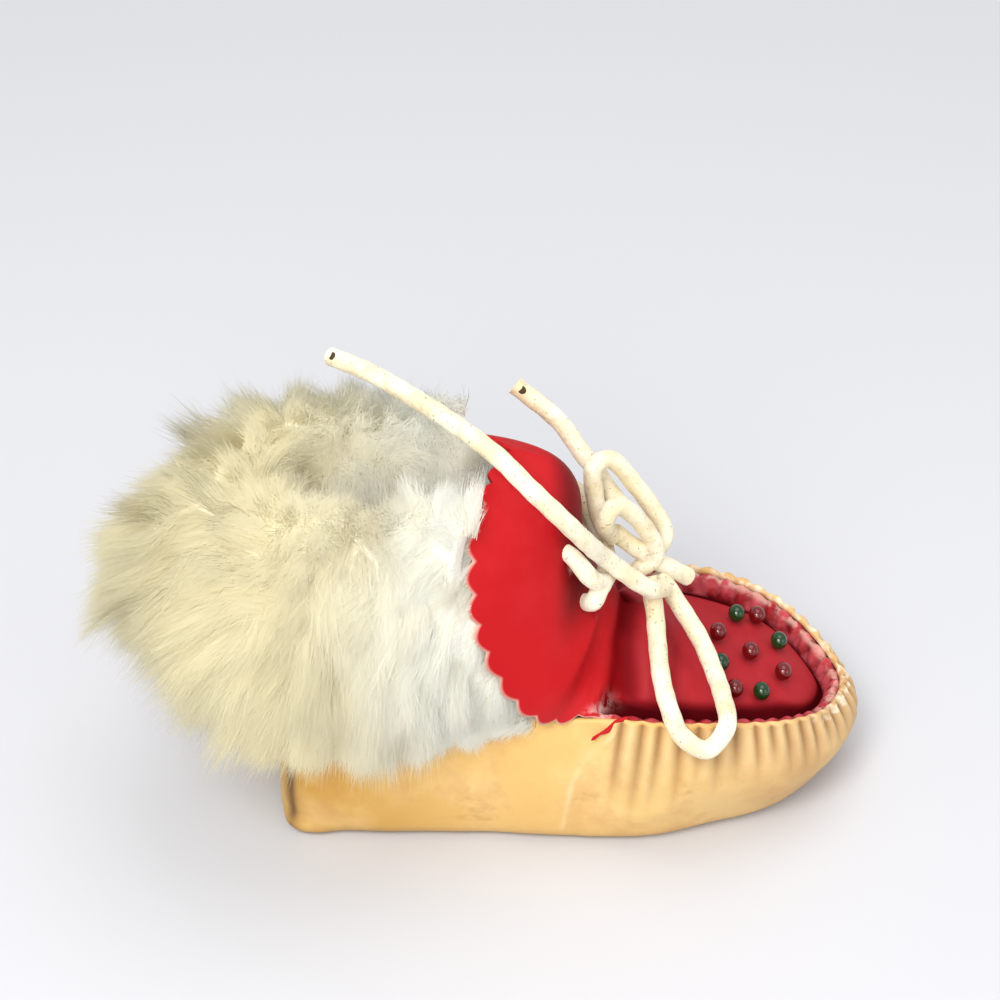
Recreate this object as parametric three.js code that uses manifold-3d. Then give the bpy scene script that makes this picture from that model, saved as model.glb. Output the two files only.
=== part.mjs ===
// A fur-cuffed baby moccasin, in millimetres: +X runs to the toe, +Y to the far side, +Z up.
// The origin is on the floor, under the middle of the flat sole.
import * as THREE from "three";
import { mergeVertices } from "three/addons/utils/BufferGeometryUtils.js";
import Module from "manifold-3d";

const wasm = await Module();
wasm.setup();

// Driving dimensions of the shoe.
const LEATHER = 1.6; // wall of the tan bottom
const VAMP_LEATHER = 1.4; // red one-piece vamp
const INSOLE = 1.8; // fleece insole
const INSOLE_TOE_LIFT = 1.2; // the insole rides a little high in the toe
const GAP = 0.35; // clearance between neighbouring pieces
const TOE_SPRING = 4; // rise of the sole at the tip of the toe
const SPRING_START_X = 30; // the sole is flat behind this
const TOE_X = 63;
const TOE_TUCK = 5.4; // the toe's wall leans out from a narrower sole
const HEEL_SQUARE = 2.4; // the heel's wall meets the sole in a sharper corner
const SEAM_END_X = 8; // the puckered seam runs round the toe from here
const PUCKER_PITCH = 4; // one gather of the toe wall
const PUCKER_DEPTH = 0.9;
const SAMPLES_PER_PUCKER = 3;
const SCALLOP_PITCH = 5.6; // pinked edge of the wings
const SCALLOP_DEPTH = 1.3;
const SAMPLES_PER_SCALLOP = 3;

// Plan of the moccasin bottom at its widest: half the width at each station.
const OUTLINE = [
  { x: -57, half: 0 },
  { x: -56.8, half: 10 },
  { x: -55.6, half: 15 },
  { x: -51, half: 18 },
  { x: -34, half: 20.2 },
  { x: -15, half: 22.6 },
  { x: 4, half: 25.4 },
  { x: 20, half: 28.8 },
  { x: 34, half: 28 },
  { x: 47, half: 23.8 },
  { x: 57, half: 15.2 },
  { x: TOE_X, half: 0 },
];

// Height of the bottom's rim along the shoe.
const RIM = [
  { x: -57, z: 33 },
  { x: -30, z: 32 },
  { x: 0, z: 31 },
  { x: 12, z: 31.4 },
  { x: 26, z: 31 },
  { x: 40, z: 28.4 },
  { x: 52, z: 24.6 },
  { x: 63, z: 19.5 },
];

// Section of the bottom's wall: share of the rim's height, and how far it stands out of the plan.
const WALL = [
  { lift: 0, out: -5 },
  { lift: 0.05, out: -1.8 },
  { lift: 0.2, out: -0.2 },
  { lift: 0.52, out: 0 },
  { lift: 0.84, out: -1.4 },
  { lift: 1, out: -3 },
];
const INNER_LIFTS = [0, 0.05, 0.52, 1]; // rows of the wall kept on its inside
const FLOOR_RINGS = [0.62]; // shares of the plan, for the flat of the sole

// Crest of the vamp, from the tip of the toe to the top of the tongue.
const CREST = [
  { x: 40, z: 27 },
  { x: 32, z: 30.6 },
  { x: 24, z: 36 },
  { x: 15, z: 44.5 },
  { x: 9, z: 49.5 },
  { x: 5.6, z: 55 },
  { x: 4.8, z: 63.5 },
  { x: 3.9, z: 73 },
  { x: 0.5, z: 78.5 },
  { x: -3.5, z: 81 },
];
const PLUG_POLE_X = 40; // ribs of the toe cap fan out of here
const THROAT_X = 15; // the crest's bend, level with the ends of the seam
const TONGUE_TIP = { x: -9.2, y: 0, z: 83.5, crest: 1 };

// Free edge of the near wing, from the end of the seam up to the tongue's tip.
// The column crest is the share of the crest's length that the section there rises to.
const WING_EDGE = [
  { x: 8, y: -21.6, z: 32.7, crest: 0.413 },
  { x: -1.4, y: -22, z: 33.8, crest: 0.49 },
  { x: -8, y: -23, z: 37, crest: 0.55 },
  { x: -13.6, y: -23, z: 43, crest: 0.605 },
  { x: -17.6, y: -22, z: 52, crest: 0.665 },
  { x: -19.5, y: -20, z: 62, crest: 0.735 },
  { x: -19.2, y: -16.5, z: 72, crest: 0.82 },
  { x: -17, y: -11.5, z: 78.5, crest: 0.89 },
  { x: -13.8, y: -5.8, z: 82.2, crest: 0.95 },
];

// Groove and upturned lip of the vamp along the puckered seam.
const RIM_OUT = WALL[WALL.length - 1].out;
const LIP_OUT = RIM_OUT - LEATHER - GAP - VAMP_LEATHER;
const GROOVE_OUT = LIP_OUT - 1.4;
const GROOVE_DROP = 2.8;
const LIP_RISE = 0.3;
const VAMP_RINGS = [0, 0.28, 0.55, 0.8, 1]; // shares from the crest out to the groove

// Sections of the fur cuff from its front end, under the wing, to the middle of the heel.
// low and top are heights, depth is how far the fur stands out of the plan, lean tilts the pelt out.
const CUFF = [
  { share: 0, low: 32.6, top: 70, depth: -0.6, lean: 0 },
  { share: 0.2, low: 32, top: 83, depth: 4.5, lean: 0 },
  { share: 0.45, low: 28, top: 85, depth: 9, lean: 0 },
  { share: 0.7, low: 25, top: 85, depth: 14, lean: 1 },
  { share: 0.88, low: 23, top: 84, depth: 20.5, lean: 4 },
  { share: 1, low: 27, top: 82, depth: 28, lean: 8 },
];
const CUFF_FRONT_X = -2.5;
const CUFF_SECTIONS = 26;
const PELT_OUT = -7; // inner face of the pelt, inside the rim

// Locks of the pile: rows of them from the brim down, each lock a bent, tapering cone.
// level is the share of the pile's height, rise turns the lock up or down, drop bends its tip.
const LOCK_ROWS = [
  { level: 0.92, count: 11, length: 10, radius: 9, rise: 0.8, drop: 2 },
  { level: 0.7, count: 11, length: 13, radius: 11, rise: -0.05, drop: 6 },
  { level: 0.44, count: 12, length: 14, radius: 11, rise: -0.35, drop: 6 },
  { level: 0.17, count: 11, length: 12, radius: 9.5, rise: -0.45, drop: 2.5 },
];
const LOCK_SIDES = 5;

// The lace is one round cord: its bars through the slits, then knot, bow and ends.
const LACE_DIAMETER = 3.7;
const LACE_SIDES = 8;
const SLIT = { length: 5.5, width: 1.1, depth: 9 };
const SLITS = [
  { x: 1.6, y: 11.2, z: 65.2, leanX: -0.12, leanZ: 1 },
  { x: 6, y: 11, z: 51.6, leanX: -0.5, leanZ: 1 },
];
// Near half of each bar, from the slit to the middle of the shoe.
const BAR_UPPER = [
  { x: 4.8, y: -13.6, z: 61.4 },
  { x: 7.2, y: -11.2, z: 57.8 },
  { x: 8.8, y: -6, z: 56.2 },
  { x: 9.6, y: 0, z: 55.6 },
];
const BAR_LOWER = [
  { x: 5.8, y: -13.4, z: 55.4 },
  { x: 7, y: -12.2, z: 57.2 },
  { x: 8.8, y: -7, z: 55.6 },
  { x: 9.8, y: -2.6, z: 53.4 },
  { x: 10.2, y: 0, z: 52.6 },
];
const KNOT_WRAP = [
  { x: 10.6, y: -0.5, z: 60.5 },
  { x: 8.9, y: -2.6, z: 65.8 },
  { x: 11, y: -1.4, z: 68.8 },
  { x: 16.2, y: 0, z: 63.2 },
  { x: 19.3, y: -0.5, z: 55 },
  { x: 15.7, y: -0.8, z: 51.8 },
];
const KNOT_BAND = [
  { x: 11, y: 0.2, z: 61 },
  { x: 18, y: 0, z: 54.5 },
  { x: 26.5, y: 2.5, z: 46.5 },
];
const LOOP_LOW = [
  { x: 18.6, y: -5.8, z: 46.6 },
  { x: 18.7, y: -11, z: 42.1 },
  { x: 18.8, y: -16.8, z: 38 },
  { x: 19.6, y: -23.4, z: 35.4 },
  { x: 21.5, y: -28.4, z: 32.4 },
  { x: 26.1, y: -31, z: 30.6 },
  { x: 30.3, y: -28.4, z: 34 },
  { x: 30.4, y: -21, z: 35.6 },
  { x: 30.1, y: -14.9, z: 35 },
  { x: 27.9, y: -7.7, z: 38.6 },
  { x: 23.2, y: -1.8, z: 45 },
];
const LOOP_BACK = [
  { x: 20.4, y: 3.8, z: 53.2 },
  { x: 22, y: 6, z: 55.4 },
  { x: 19.9, y: 7.5, z: 60 },
  { x: 16.5, y: 9, z: 65 },
  { x: 11.1, y: 10, z: 71.5 },
  { x: 7.9, y: 8.4, z: 71 },
  { x: 7.8, y: 6.6, z: 66 },
  { x: 8.8, y: 4.8, z: 61 },
];
const END_LONG = [
  { x: 15.7, y: -8.4, z: 54.3 },
  { x: 8.1, y: -10.1, z: 63 },
  { x: 3.6, y: -14.2, z: 71 },
  { x: -1.1, y: -14.8, z: 77.4 },
  { x: -6.6, y: -12.2, z: 82.6 },
  { x: -12, y: -8.6, z: 87.4 },
  { x: -18.2, y: -4.4, z: 91 },
  { x: -24.3, y: 1.4, z: 92.6 },
  { x: -34.9, y: 13.7, z: 92.6 },
  { x: -42.3, y: 21.3, z: 91.6 },
];
const END_SHORT = [
  { x: 13.2, y: 4.8, z: 63.6 },
  { x: 11.8, y: 9, z: 63.2 },
  { x: 9.5, y: 13.5, z: 65 },
  { x: 6, y: 17.8, z: 68.4 },
  { x: 2.4, y: 21.6, z: 72.6 },
  { x: -6.1, y: 26, z: 79 },
];

// Beads of the rosette, by their place on the plug.
const BEAD_DIAMETER = 4;
const BEADS = [
  { name: "bead_center", x: 38.5, y: -1.6, green: false },
  { name: "bead_1", x: 37.6, y: 10.4, green: true },
  { name: "bead_2", x: 42.2, y: 11.4, green: false },
  { name: "bead_3", x: 45.2, y: 3.4, green: true },
  { name: "bead_4", x: 44.6, y: -5.8, green: false },
  { name: "bead_5", x: 39.2, y: -12.2, green: true },
  { name: "bead_6", x: 33.6, y: -13, green: false },
  { name: "bead_7", x: 31.6, y: -7, green: true },
  { name: "bead_8", x: 32.2, y: 1.6, green: false },
];

const RED = new THREE.MeshStandardMaterial({ color: 0xb41b22, roughness: 0.55, metalness: 0 });
const TAN = new THREE.MeshStandardMaterial({ color: 0xd2a05a, roughness: 0.7, metalness: 0 });
const FUR = new THREE.MeshStandardMaterial({ color: 0xeeead2, roughness: 0.95, metalness: 0 });
const CORD = new THREE.MeshStandardMaterial({ color: 0xeadfba, roughness: 0.85, metalness: 0 });
const GLASS_GREEN = new THREE.MeshStandardMaterial({ color: 0x1d4a22, roughness: 0.15, metalness: 0 });
const GLASS_RED = new THREE.MeshStandardMaterial({ color: 0x8c1216, roughness: 0.15, metalness: 0 });
const FLEECE = new THREE.MeshStandardMaterial({ color: 0xe6dcc4, roughness: 0.95, metalness: 0 });

// A column of a table at any key, by a smooth curve through its rows.
function along(table, key, column, at) {
  const rows = table[0][key] < table[table.length - 1][key] ? table : [...table].reverse();
  const last = rows.length - 1;
  if (at <= rows[0][key]) return rows[0][column];
  if (at >= rows[last][key]) return rows[last][column];
  const i = rows.findIndex((row) => row[key] > at) - 1;
  const slope = (k) => {
    const a = rows[Math.max(0, k - 1)];
    const b = rows[Math.min(last, k + 1)];
    return (b[column] - a[column]) / (b[key] - a[key]);
  };
  const step = rows[i + 1][key] - rows[i][key];
  const t = (at - rows[i][key]) / step;
  const tt = t * t;
  const ttt = tt * t;
  return (
    (2 * ttt - 3 * tt + 1) * rows[i][column] +
    (ttt - 2 * tt + t) * step * slope(i) +
    (3 * tt - 2 * ttt) * rows[i + 1][column] +
    (ttt - tt) * step * slope(i + 1)
  );
}

const smoothstep = THREE.MathUtils.smoothstep;
const lerp = THREE.MathUtils.lerp;

// The plan as one closed curve: share 0 is the middle of the heel, then the near side, 0.5 the toe.
const nearPoints = OUTLINE.map((row) => new THREE.Vector3(row.x, -row.half, 0));
const farPoints = OUTLINE.slice(1, -1)
  .reverse()
  .map((row) => new THREE.Vector3(row.x, row.half, 0));
const plan = new THREE.CatmullRomCurve3([...nearPoints, ...farPoints], true, "centripetal");
plan.arcLengthDivisions = 1200;
const PLAN_LENGTH = plan.getLength();

// A point moved out of the plan; directions are averaged so that corners don't fold on themselves.
function planPoint(share, out) {
  const wrap = (at) => ((at % 1) + 1) % 1;
  const p = plan.getPointAt(wrap(share));
  const t = new THREE.Vector3();
  for (const step of [-9, -6, -3, 0, 3, 6, 9]) t.add(plan.getTangentAt(wrap(share + step / PLAN_LENGTH)));
  t.normalize();
  return new THREE.Vector3(p.x + t.y * out, p.y - t.x * out, 0);
}

// Share of the plan's length where the near side passes a station.
function planShareAt(x) {
  let low = 0.02;
  let high = 0.5;
  for (let i = 0; i < 40; i++) {
    const middle = (low + high) / 2;
    if (plan.getPointAt(middle).x < x) low = middle;
    else high = middle;
  }
  return low;
}

const SEAM_SHARE = planShareAt(SEAM_END_X);
const rimZ = (x) => along(RIM, "x", "z", x);
const spring = (x) => TOE_SPRING * Math.pow(smoothstep(x, SPRING_START_X, TOE_X + 8), 1.5);

// Closed mesh from named rows of vertices and triangles, with coincident points joined.
function geometryOf(points, triangles) {
  const flat = new Float32Array(points.length * 3);
  points.forEach((p, i) => flat.set([p.x, p.y, p.z], i * 3));
  const g = new THREE.BufferGeometry();
  g.setAttribute("position", new THREE.BufferAttribute(flat, 3));
  g.setIndex(triangles.flat());
  const merged = mergeVertices(g, 1e-3);
  const index = Array.from(merged.index.array);
  const kept = [];
  for (let i = 0; i < index.length; i += 3) {
    const [a, b, c] = index.slice(i, i + 3);
    if (a !== b && b !== c && c !== a) kept.push(a, b, c);
  }
  merged.setIndex(kept);
  return merged;
}

function solidOf(geometry) {
  return new wasm.Manifold(
    new wasm.Mesh({
      numProp: 3,
      vertProperties: geometry.getAttribute("position").array,
      triVerts: new Uint32Array(geometry.index.array),
    }),
  );
}

function geometryFrom(solid) {
  const mesh = solid.getMesh();
  const g = new THREE.BufferGeometry();
  g.setAttribute("position", new THREE.BufferAttribute(new Float32Array(mesh.vertProperties), 3));
  g.setIndex(new THREE.BufferAttribute(new Uint32Array(mesh.triVerts), 1));
  return g;
}

// Quads between rows of equal length; closed rows join their ends.
function strips(rows, closed) {
  const wide = rows[0].length;
  const triangles = [];
  for (let j = 0; j + 1 < rows.length; j++) {
    for (let i = 0; i < (closed ? wide : wide - 1); i++) {
      const a = j * wide + i;
      const b = j * wide + ((i + 1) % wide);
      triangles.push([a, b, a + wide], [b, b + wide, a + wide]);
    }
  }
  return { points: rows.flat(), triangles };
}

// An open sheet made solid: its face as given, its back between two depths under it.
function thicken(sheet, above, below) {
  sheet.computeVertexNormals();
  const position = sheet.getAttribute("position");
  const normal = sheet.getAttribute("normal");
  const count = position.count;
  const at = (i, depth) =>
    new THREE.Vector3()
      .fromBufferAttribute(normal, i)
      .multiplyScalar(depth)
      .add(new THREE.Vector3().fromBufferAttribute(position, i));
  const face = Array.from({ length: count }, (_, i) => at(i, above));
  const back = Array.from({ length: count }, (_, i) => at(i, -below));
  const index = sheet.index.array;
  const triangles = [];
  const open = new Map();
  for (let i = 0; i < index.length; i += 3) {
    const corner = [index[i], index[i + 1], index[i + 2]];
    triangles.push(corner, [corner[2] + count, corner[1] + count, corner[0] + count]);
    corner.forEach((a, k) => {
      const b = corner[(k + 1) % 3];
      if (!open.delete(b + "_" + a)) open.set(a + "_" + b, [a, b]);
    });
  }
  for (const [a, b] of open.values()) triangles.push([b, a, a + count], [b, a + count, b + count]);
  return geometryOf([...face, ...back], triangles);
}

// The tan bottom: sole and sides are one piece of leather, gathered round the toe.
const toeLength = (0.5 - SEAM_SHARE) * 2 * PLAN_LENGTH;
const PUCKERS = Math.round(toeLength / PUCKER_PITCH);

function bottomShares() {
  const toe = PUCKERS * SAMPLES_PER_PUCKER;
  const side = 12;
  const shares = [];
  for (let i = 0; i < side; i++) shares.push((SEAM_SHARE * i) / side);
  for (let i = 0; i <= toe; i++) shares.push(lerp(SEAM_SHARE, 1 - SEAM_SHARE, i / toe));
  for (let i = side - 1; i > 0; i--) shares.push(1 - (SEAM_SHARE * i) / side);
  return shares;
}

function pucker(share, lift) {
  const phase = (share - SEAM_SHARE) / (1 - 2 * SEAM_SHARE);
  if (phase < 0 || phase > 1) return 0;
  const valley = 0.5 - 0.5 * Math.cos(2 * Math.PI * phase * PUCKERS);
  return PUCKER_DEPTH * valley * smoothstep(lift, 0.4, 0.9);
}

// How far the wall draws in to the sole at a station and a share of the rim's height.
function soleTuck(x, lift) {
  const toe = TOE_TUCK * smoothstep(x, 2, 34) * (1 - smoothstep(lift, 0, 0.7));
  return toe - HEEL_SQUARE * (1 - smoothstep(x, -55, -44)) * (1 - smoothstep(lift, 0, 0.2));
}

function wallPoint(share, row, inward, pleated) {
  const base = planPoint(share, 0);
  const rim = rimZ(base.x);
  const out = row.out - soleTuck(base.x, row.lift) - inward - (pleated ? pucker(share, row.lift) : 0);
  const p = planPoint(share, out);
  p.z = lerp(spring(p.x) + (inward > 0 ? LEATHER : 0), rim, row.lift);
  return p;
}

function floorRow(shares, scale, inward) {
  return shares.map((share) => {
    const tuck = soleTuck(planPoint(share, 0).x, 0);
    const p = planPoint(share, WALL[0].out - tuck - inward).multiplyScalar(scale);
    p.z = spring(p.x) + (inward > 0 ? LEATHER : 0);
    return p;
  });
}

function bottomGeometry() {
  const shares = bottomShares();
  const middle = (z) => shares.map(() => new THREE.Vector3(0, 0, z));
  const outside = WALL.map((row) => shares.map((s) => wallPoint(s, row, 0, true)));
  const kept = WALL.filter((row) => INNER_LIFTS.includes(row.lift));
  const inside = kept.map((row) => shares.map((s) => wallPoint(s, row, LEATHER, false)));
  const under = [...FLOOR_RINGS].reverse().map((k) => floorRow(shares, k, 0));
  const over = FLOOR_RINGS.map((k) => floorRow(shares, k, LEATHER));
  const rows = [middle(0), ...under, ...outside, ...inside.reverse(), ...over, middle(LEATHER)];
  const { points, triangles } = strips(rows, true);
  return geometryOf(points, triangles);
}

// The red vamp: the toe's plug and the tongue with its two wings, in one piece of leather.
const crestCurve = new THREE.CatmullRomCurve3(
  CREST.map((row) => new THREE.Vector3(row.x, 0, row.z)),
  false,
  "centripetal",
);
const crestAt = (share) => crestCurve.getPointAt(THREE.MathUtils.clamp(share, 0, 1));

function crestShareAtX(x) {
  let low = 0;
  let high = 1;
  for (let i = 0; i < 40; i++) {
    const middle = (low + high) / 2;
    if (crestAt(middle).x > x) low = middle;
    else high = middle;
  }
  return low;
}

const edgeRows = [...WING_EDGE, TONGUE_TIP];
const edgeCurve = new THREE.CatmullRomCurve3(
  edgeRows.map((row) => new THREE.Vector3(row.x, row.y, row.z)),
  false,
  "centripetal",
);
const EDGE_LENGTH = edgeCurve.getLength();
const SCALLOPS = Math.round(EDGE_LENGTH / SCALLOP_PITCH);

// One rib of the vamp runs from the crest down to the edge.
// In the toe its edge is the groove beside the seam, with a lip past it.
function toeRib(share) {
  const groove = planPoint(share, GROOVE_OUT);
  const lip = planPoint(share, LIP_OUT);
  const rim = rimZ(planPoint(share, 0).x);
  groove.z = rim - GROOVE_DROP;
  lip.z = rim + LIP_RISE;
  const along = (groove.x - SEAM_END_X) / (PLUG_POLE_X - SEAM_END_X);
  const crest = crestAt(crestShareAtX(lerp(THROAT_X, PLUG_POLE_X, along)));
  return { crest, edge: groove, lip, wing: 0 };
}

function wingRib(share, scallop, margin) {
  const edge = edgeCurve.getPoint(share);
  const crestShare = along(
    edgeRows.map((row, i) => ({ key: i / (edgeRows.length - 1), crest: row.crest })),
    "key",
    "crest",
    share,
  );
  const crest = crestAt(Math.min(1, crestShare));
  const dip = Math.abs(Math.sin(Math.PI * SCALLOPS * share));
  const cut = scallop ? SCALLOP_DEPTH * (1 - dip) * smoothstep(share, 0.02, 0.1) : 0;
  const reach = edge.distanceTo(crest);
  return { crest, edge, lip: null, wing: smoothstep(share, 0, 0.2), end: 1 - (cut - margin) / reach };
}

function ribPoint(rib, r) {
  const across = lerp(r, Math.sin((r * Math.PI) / 2), rib.wing);
  const drop = lerp(r * r, 1 - Math.cos((r * Math.PI) / 2), rib.wing);
  const along = lerp(across, drop, rib.wing);
  return new THREE.Vector3(
    lerp(rib.crest.x, rib.edge.x, along),
    lerp(rib.crest.y, rib.edge.y, across),
    lerp(rib.crest.z, rib.edge.z, drop),
  );
}

function ribPoints(rib) {
  if (rib.lip) return [...VAMP_RINGS.map((r) => ribPoint(rib, r)), rib.lip];
  return [...VAMP_RINGS.map((r) => ribPoint(rib, r * (rib.end - 0.07))), ribPoint(rib, rib.end)];
}

function vampSheet(scallop, margin) {
  const toeRibs = 18;
  const wingRibs = SCALLOPS * SAMPLES_PER_SCALLOP;
  const near = [];
  for (let i = 0; i <= toeRibs; i++) near.push(toeRib(lerp(0.5, SEAM_SHARE, i / toeRibs)));
  for (let i = 1; i <= wingRibs; i++) near.push(wingRib(i / wingRibs, scallop, margin));
  const nearColumns = near.map(ribPoints);
  const mirror = (p) => new THREE.Vector3(p.x, -p.y, p.z);
  const farColumns = nearColumns.slice(1, -1).map((column) => column.map(mirror));
  const columns = [...nearColumns, ...farColumns.reverse()];
  const rows = columns[0].map((_, ring) => columns.map((column) => column[ring]));
  const { points, triangles } = strips(rows, true);
  return geometryOf(points, triangles);
}

// The fur cuff: a pelt round the ankle, open in front, with its pile hanging over the bottom's rim.
function cuffSection(place) {
  const frontShare = planShareAt(CUFF_FRONT_X);
  const share = place < 0.5 ? frontShare * (1 - 2 * place) : 1 - frontShare * (2 * place - 1);
  const at = 1 - Math.abs(1 - 2 * place);
  const [low, top, depth, lean] = ["low", "top", "depth", "lean"].map((column) =>
    along(CUFF, "share", column, at),
  );
  const x = planPoint(share, 0).x;
  const rim = rimZ(x);
  const clear = RIM_OUT + 0.9;
  const profile = [
    { out: PELT_OUT, z: rim + 0.8 },
    { out: PELT_OUT - 0.5 + 0.4 * lean, z: lerp(rim, top, 0.5) },
    { out: PELT_OUT + lean, z: top - 4 },
    { out: lerp(PELT_OUT + lean, depth, 0.35), z: top },
    { out: lerp(PELT_OUT + lean, depth, 0.8), z: top - 4 },
    { out: depth, z: lerp(low, top, 0.62) },
    { out: depth * 0.92, z: lerp(low, top, 0.3) },
    { out: depth * 0.6 + 0.5, z: lerp(low, top, 0.02) },
    { out: depth * 0.3 + 0.8, z: low },
    { out: 0.8, z: Math.min(rim - 1, low + 3) },
    { out: -0.2, z: rim - 0.6 },
    { out: clear, z: rim + 0.8 },
  ];
  return profile.map((row) => {
    const p = planPoint(share, row.out);
    p.z = row.z;
    return p;
  });
}

function cuffGeometry() {
  const rows = [];
  for (let i = 0; i <= CUFF_SECTIONS; i++) rows.push(cuffSection(i / CUFF_SECTIONS));
  const wide = rows[0].length;
  const { points, triangles } = strips(rows, true);
  const last = points.length - wide;
  const corner = THREE.ShapeUtils.triangulateShape(sectionOutline(rows[0]), []);
  corner.forEach(([a, b, c]) => {
    triangles.push([a, b, c]);
    triangles.push([last + c, last + b, last + a]);
  });
  return geometryOf(points, triangles.map(([a, b, c]) => [a, c, b]));
}

// A cuff section flattened to its own plane, for its end cap.
function sectionOutline(row) {
  const start = row[0];
  const across = row[5].clone().sub(start).setZ(0).normalize();
  return row.map((p) => new THREE.Vector2(p.clone().sub(start).dot(across), p.z));
}

// One lock of the pile, closed, from a base inside the cuff to a bent tip.
function lockSolid(base, direction, length, radius, drop) {
  const side = new THREE.Vector3(0, 0, 1).cross(direction).normalize();
  const up = direction.clone().cross(side);
  const spine = (t) =>
    base.clone().addScaledVector(direction, length * t).add(new THREE.Vector3(0, 0, -drop * t * t));
  const ring = (t, wide) =>
    Array.from({ length: LOCK_SIDES }, (_, i) => {
      const turn = (2 * Math.PI * i) / LOCK_SIDES;
      const out = side.clone().multiplyScalar(Math.cos(turn)).addScaledVector(up, Math.sin(turn));
      return spine(t).addScaledVector(out, radius * wide);
    });
  const pole = (t) => Array.from({ length: LOCK_SIDES }, () => spine(t));
  const rows = [pole(-0.3), ring(-0.1, 1), ring(0.5, 0.78), pole(1)];
  const { points, triangles } = strips(rows, true);
  return solidOf(geometryOf(points, triangles));
}

function cuffLocks() {
  const locks = [];
  for (const [k, row] of LOCK_ROWS.entries()) {
    for (let i = 0; i < row.count; i++) {
      const wobble = Math.sin(7.3 * i + 3.1 * k);
      const place = lerp(0.07, 0.93, (i + 0.5 + 0.25 * wobble + 0.25 * (k % 2)) / row.count);
      const section = cuffSection(place);
      const inner = section[1];
      const belly = section[5];
      const out = belly.clone().sub(inner).setZ(0).normalize();
      const low = section[8].z;
      const top = section[3].z;
      const depth = belly.clone().sub(inner).setZ(0).length();
      const base = inner.clone().addScaledVector(out, depth * (row.level > 0.9 ? 0.55 : 0.8));
      base.z = lerp(low, top, row.level);
      const direction = out.clone().setZ(row.rise).normalize();
      const grown = Math.min(1, 0.35 + depth / 24);
      const length = row.length * grown * (1 + 0.15 * wobble);
      locks.push(lockSolid(base, direction, length, row.radius * (0.45 + 0.55 * grown), row.drop * grown));
    }
  }
  return locks;
}

// Room kept free of fur for the bottom: its outside, a little larger, closed over the rim.
function bottomRoom() {
  const shares = Array.from({ length: 68 }, (_, i) => i / 68);
  const grown = WALL.map((row) => ({ lift: row.lift, out: row.out + 0.6 }));
  const wall = grown.map((row) => shares.map((s) => wallPoint(s, row, 0, false)));
  const lid = wall[wall.length - 1].map((p) => new THREE.Vector3(p.x, p.y, p.z + 0.5));
  const rows = [shares.map(() => new THREE.Vector3(0, 0, -1)), ...wall, lid];
  rows.push(shares.map(() => new THREE.Vector3(0, 0, 31)));
  const { points, triangles } = strips(rows, true);
  return solidOf(geometryOf(points, triangles));
}

// A round cord along a table of points.
function cord(rows) {
  const path = new THREE.CatmullRomCurve3(
    rows.map((row) => new THREE.Vector3(row.x, row.y, row.z)),
    false,
    "centripetal",
  );
  const round = new THREE.Shape();
  for (let i = 0; i < LACE_SIDES; i++) {
    const turn = (2 * Math.PI * i) / LACE_SIDES;
    const x = (LACE_DIAMETER / 2) * Math.cos(turn);
    const y = (LACE_DIAMETER / 2) * Math.sin(turn);
    if (i === 0) round.moveTo(x, y);
    else round.lineTo(x, y);
  }
  round.closePath();
  const steps = Math.max(4, Math.round(path.getLength() / 5));
  const tube = new THREE.ExtrudeGeometry(round, { steps, bevelEnabled: false, extrudePath: path });
  tube.deleteAttribute("normal");
  tube.deleteAttribute("uv");
  return mergeVertices(tube, 1e-3);
}

// A bar of the lace, from its near half and the same half mirrored.
function wholeBar(near) {
  const far = near.slice(0, -1).map((row) => ({ ...row, y: -row.y }));
  return [...near, ...far.reverse()];
}

// A slit through the vamp, square to its face, on the near side or the far one.
function slitSolid(row, hand) {
  const slot = new THREE.BoxGeometry(SLIT.depth, SLIT.width, SLIT.length);
  slot.deleteAttribute("normal");
  slot.deleteAttribute("uv");
  const long = new THREE.Vector3(row.leanX, 0, row.leanZ).normalize();
  const through = new THREE.Vector3(0.75, 0.62 * hand, 0.2);
  through.addScaledVector(long, -through.dot(long)).normalize();
  const frame = new THREE.Matrix4().makeBasis(through, long.clone().cross(through), long);
  frame.setPosition(row.x, row.y * hand, row.z);
  return solidOf(mergeVertices(slot.applyMatrix4(frame), 1e-3));
}

// A bead on the plug, just clear of the leather under it.
function beadGeometry(row, plug) {
  const from = new THREE.Vector3(row.x, row.y, 60);
  const [met] = new THREE.Raycaster(from, new THREE.Vector3(0, 0, -1)).intersectObject(plug);
  const ball = new THREE.SphereGeometry(BEAD_DIAMETER / 2, 8, 5);
  ball.deleteAttribute("normal");
  ball.deleteAttribute("uv");
  ball.rotateX(Math.PI / 2);
  ball.scale(1, 1, 0.85);
  const turn = new THREE.Quaternion().setFromUnitVectors(new THREE.Vector3(0, 0, 1), met.face.normal);
  ball.applyQuaternion(turn);
  const seat = met.point.clone().addScaledVector(met.face.normal, 0.425 * BEAD_DIAMETER + GAP);
  ball.translate(seat.x, seat.y, seat.z);
  const merged = mergeVertices(ball, 1e-3);
  const points = [];
  const position = merged.getAttribute("position");
  for (let i = 0; i < position.count; i++) points.push(new THREE.Vector3().fromBufferAttribute(position, i));
  const triangles = [];
  for (let i = 0; i < merged.index.count; i += 3) {
    triangles.push([0, 1, 2].map((k) => merged.index.getX(i + k)));
  }
  return geometryOf(points, triangles);
}

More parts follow.
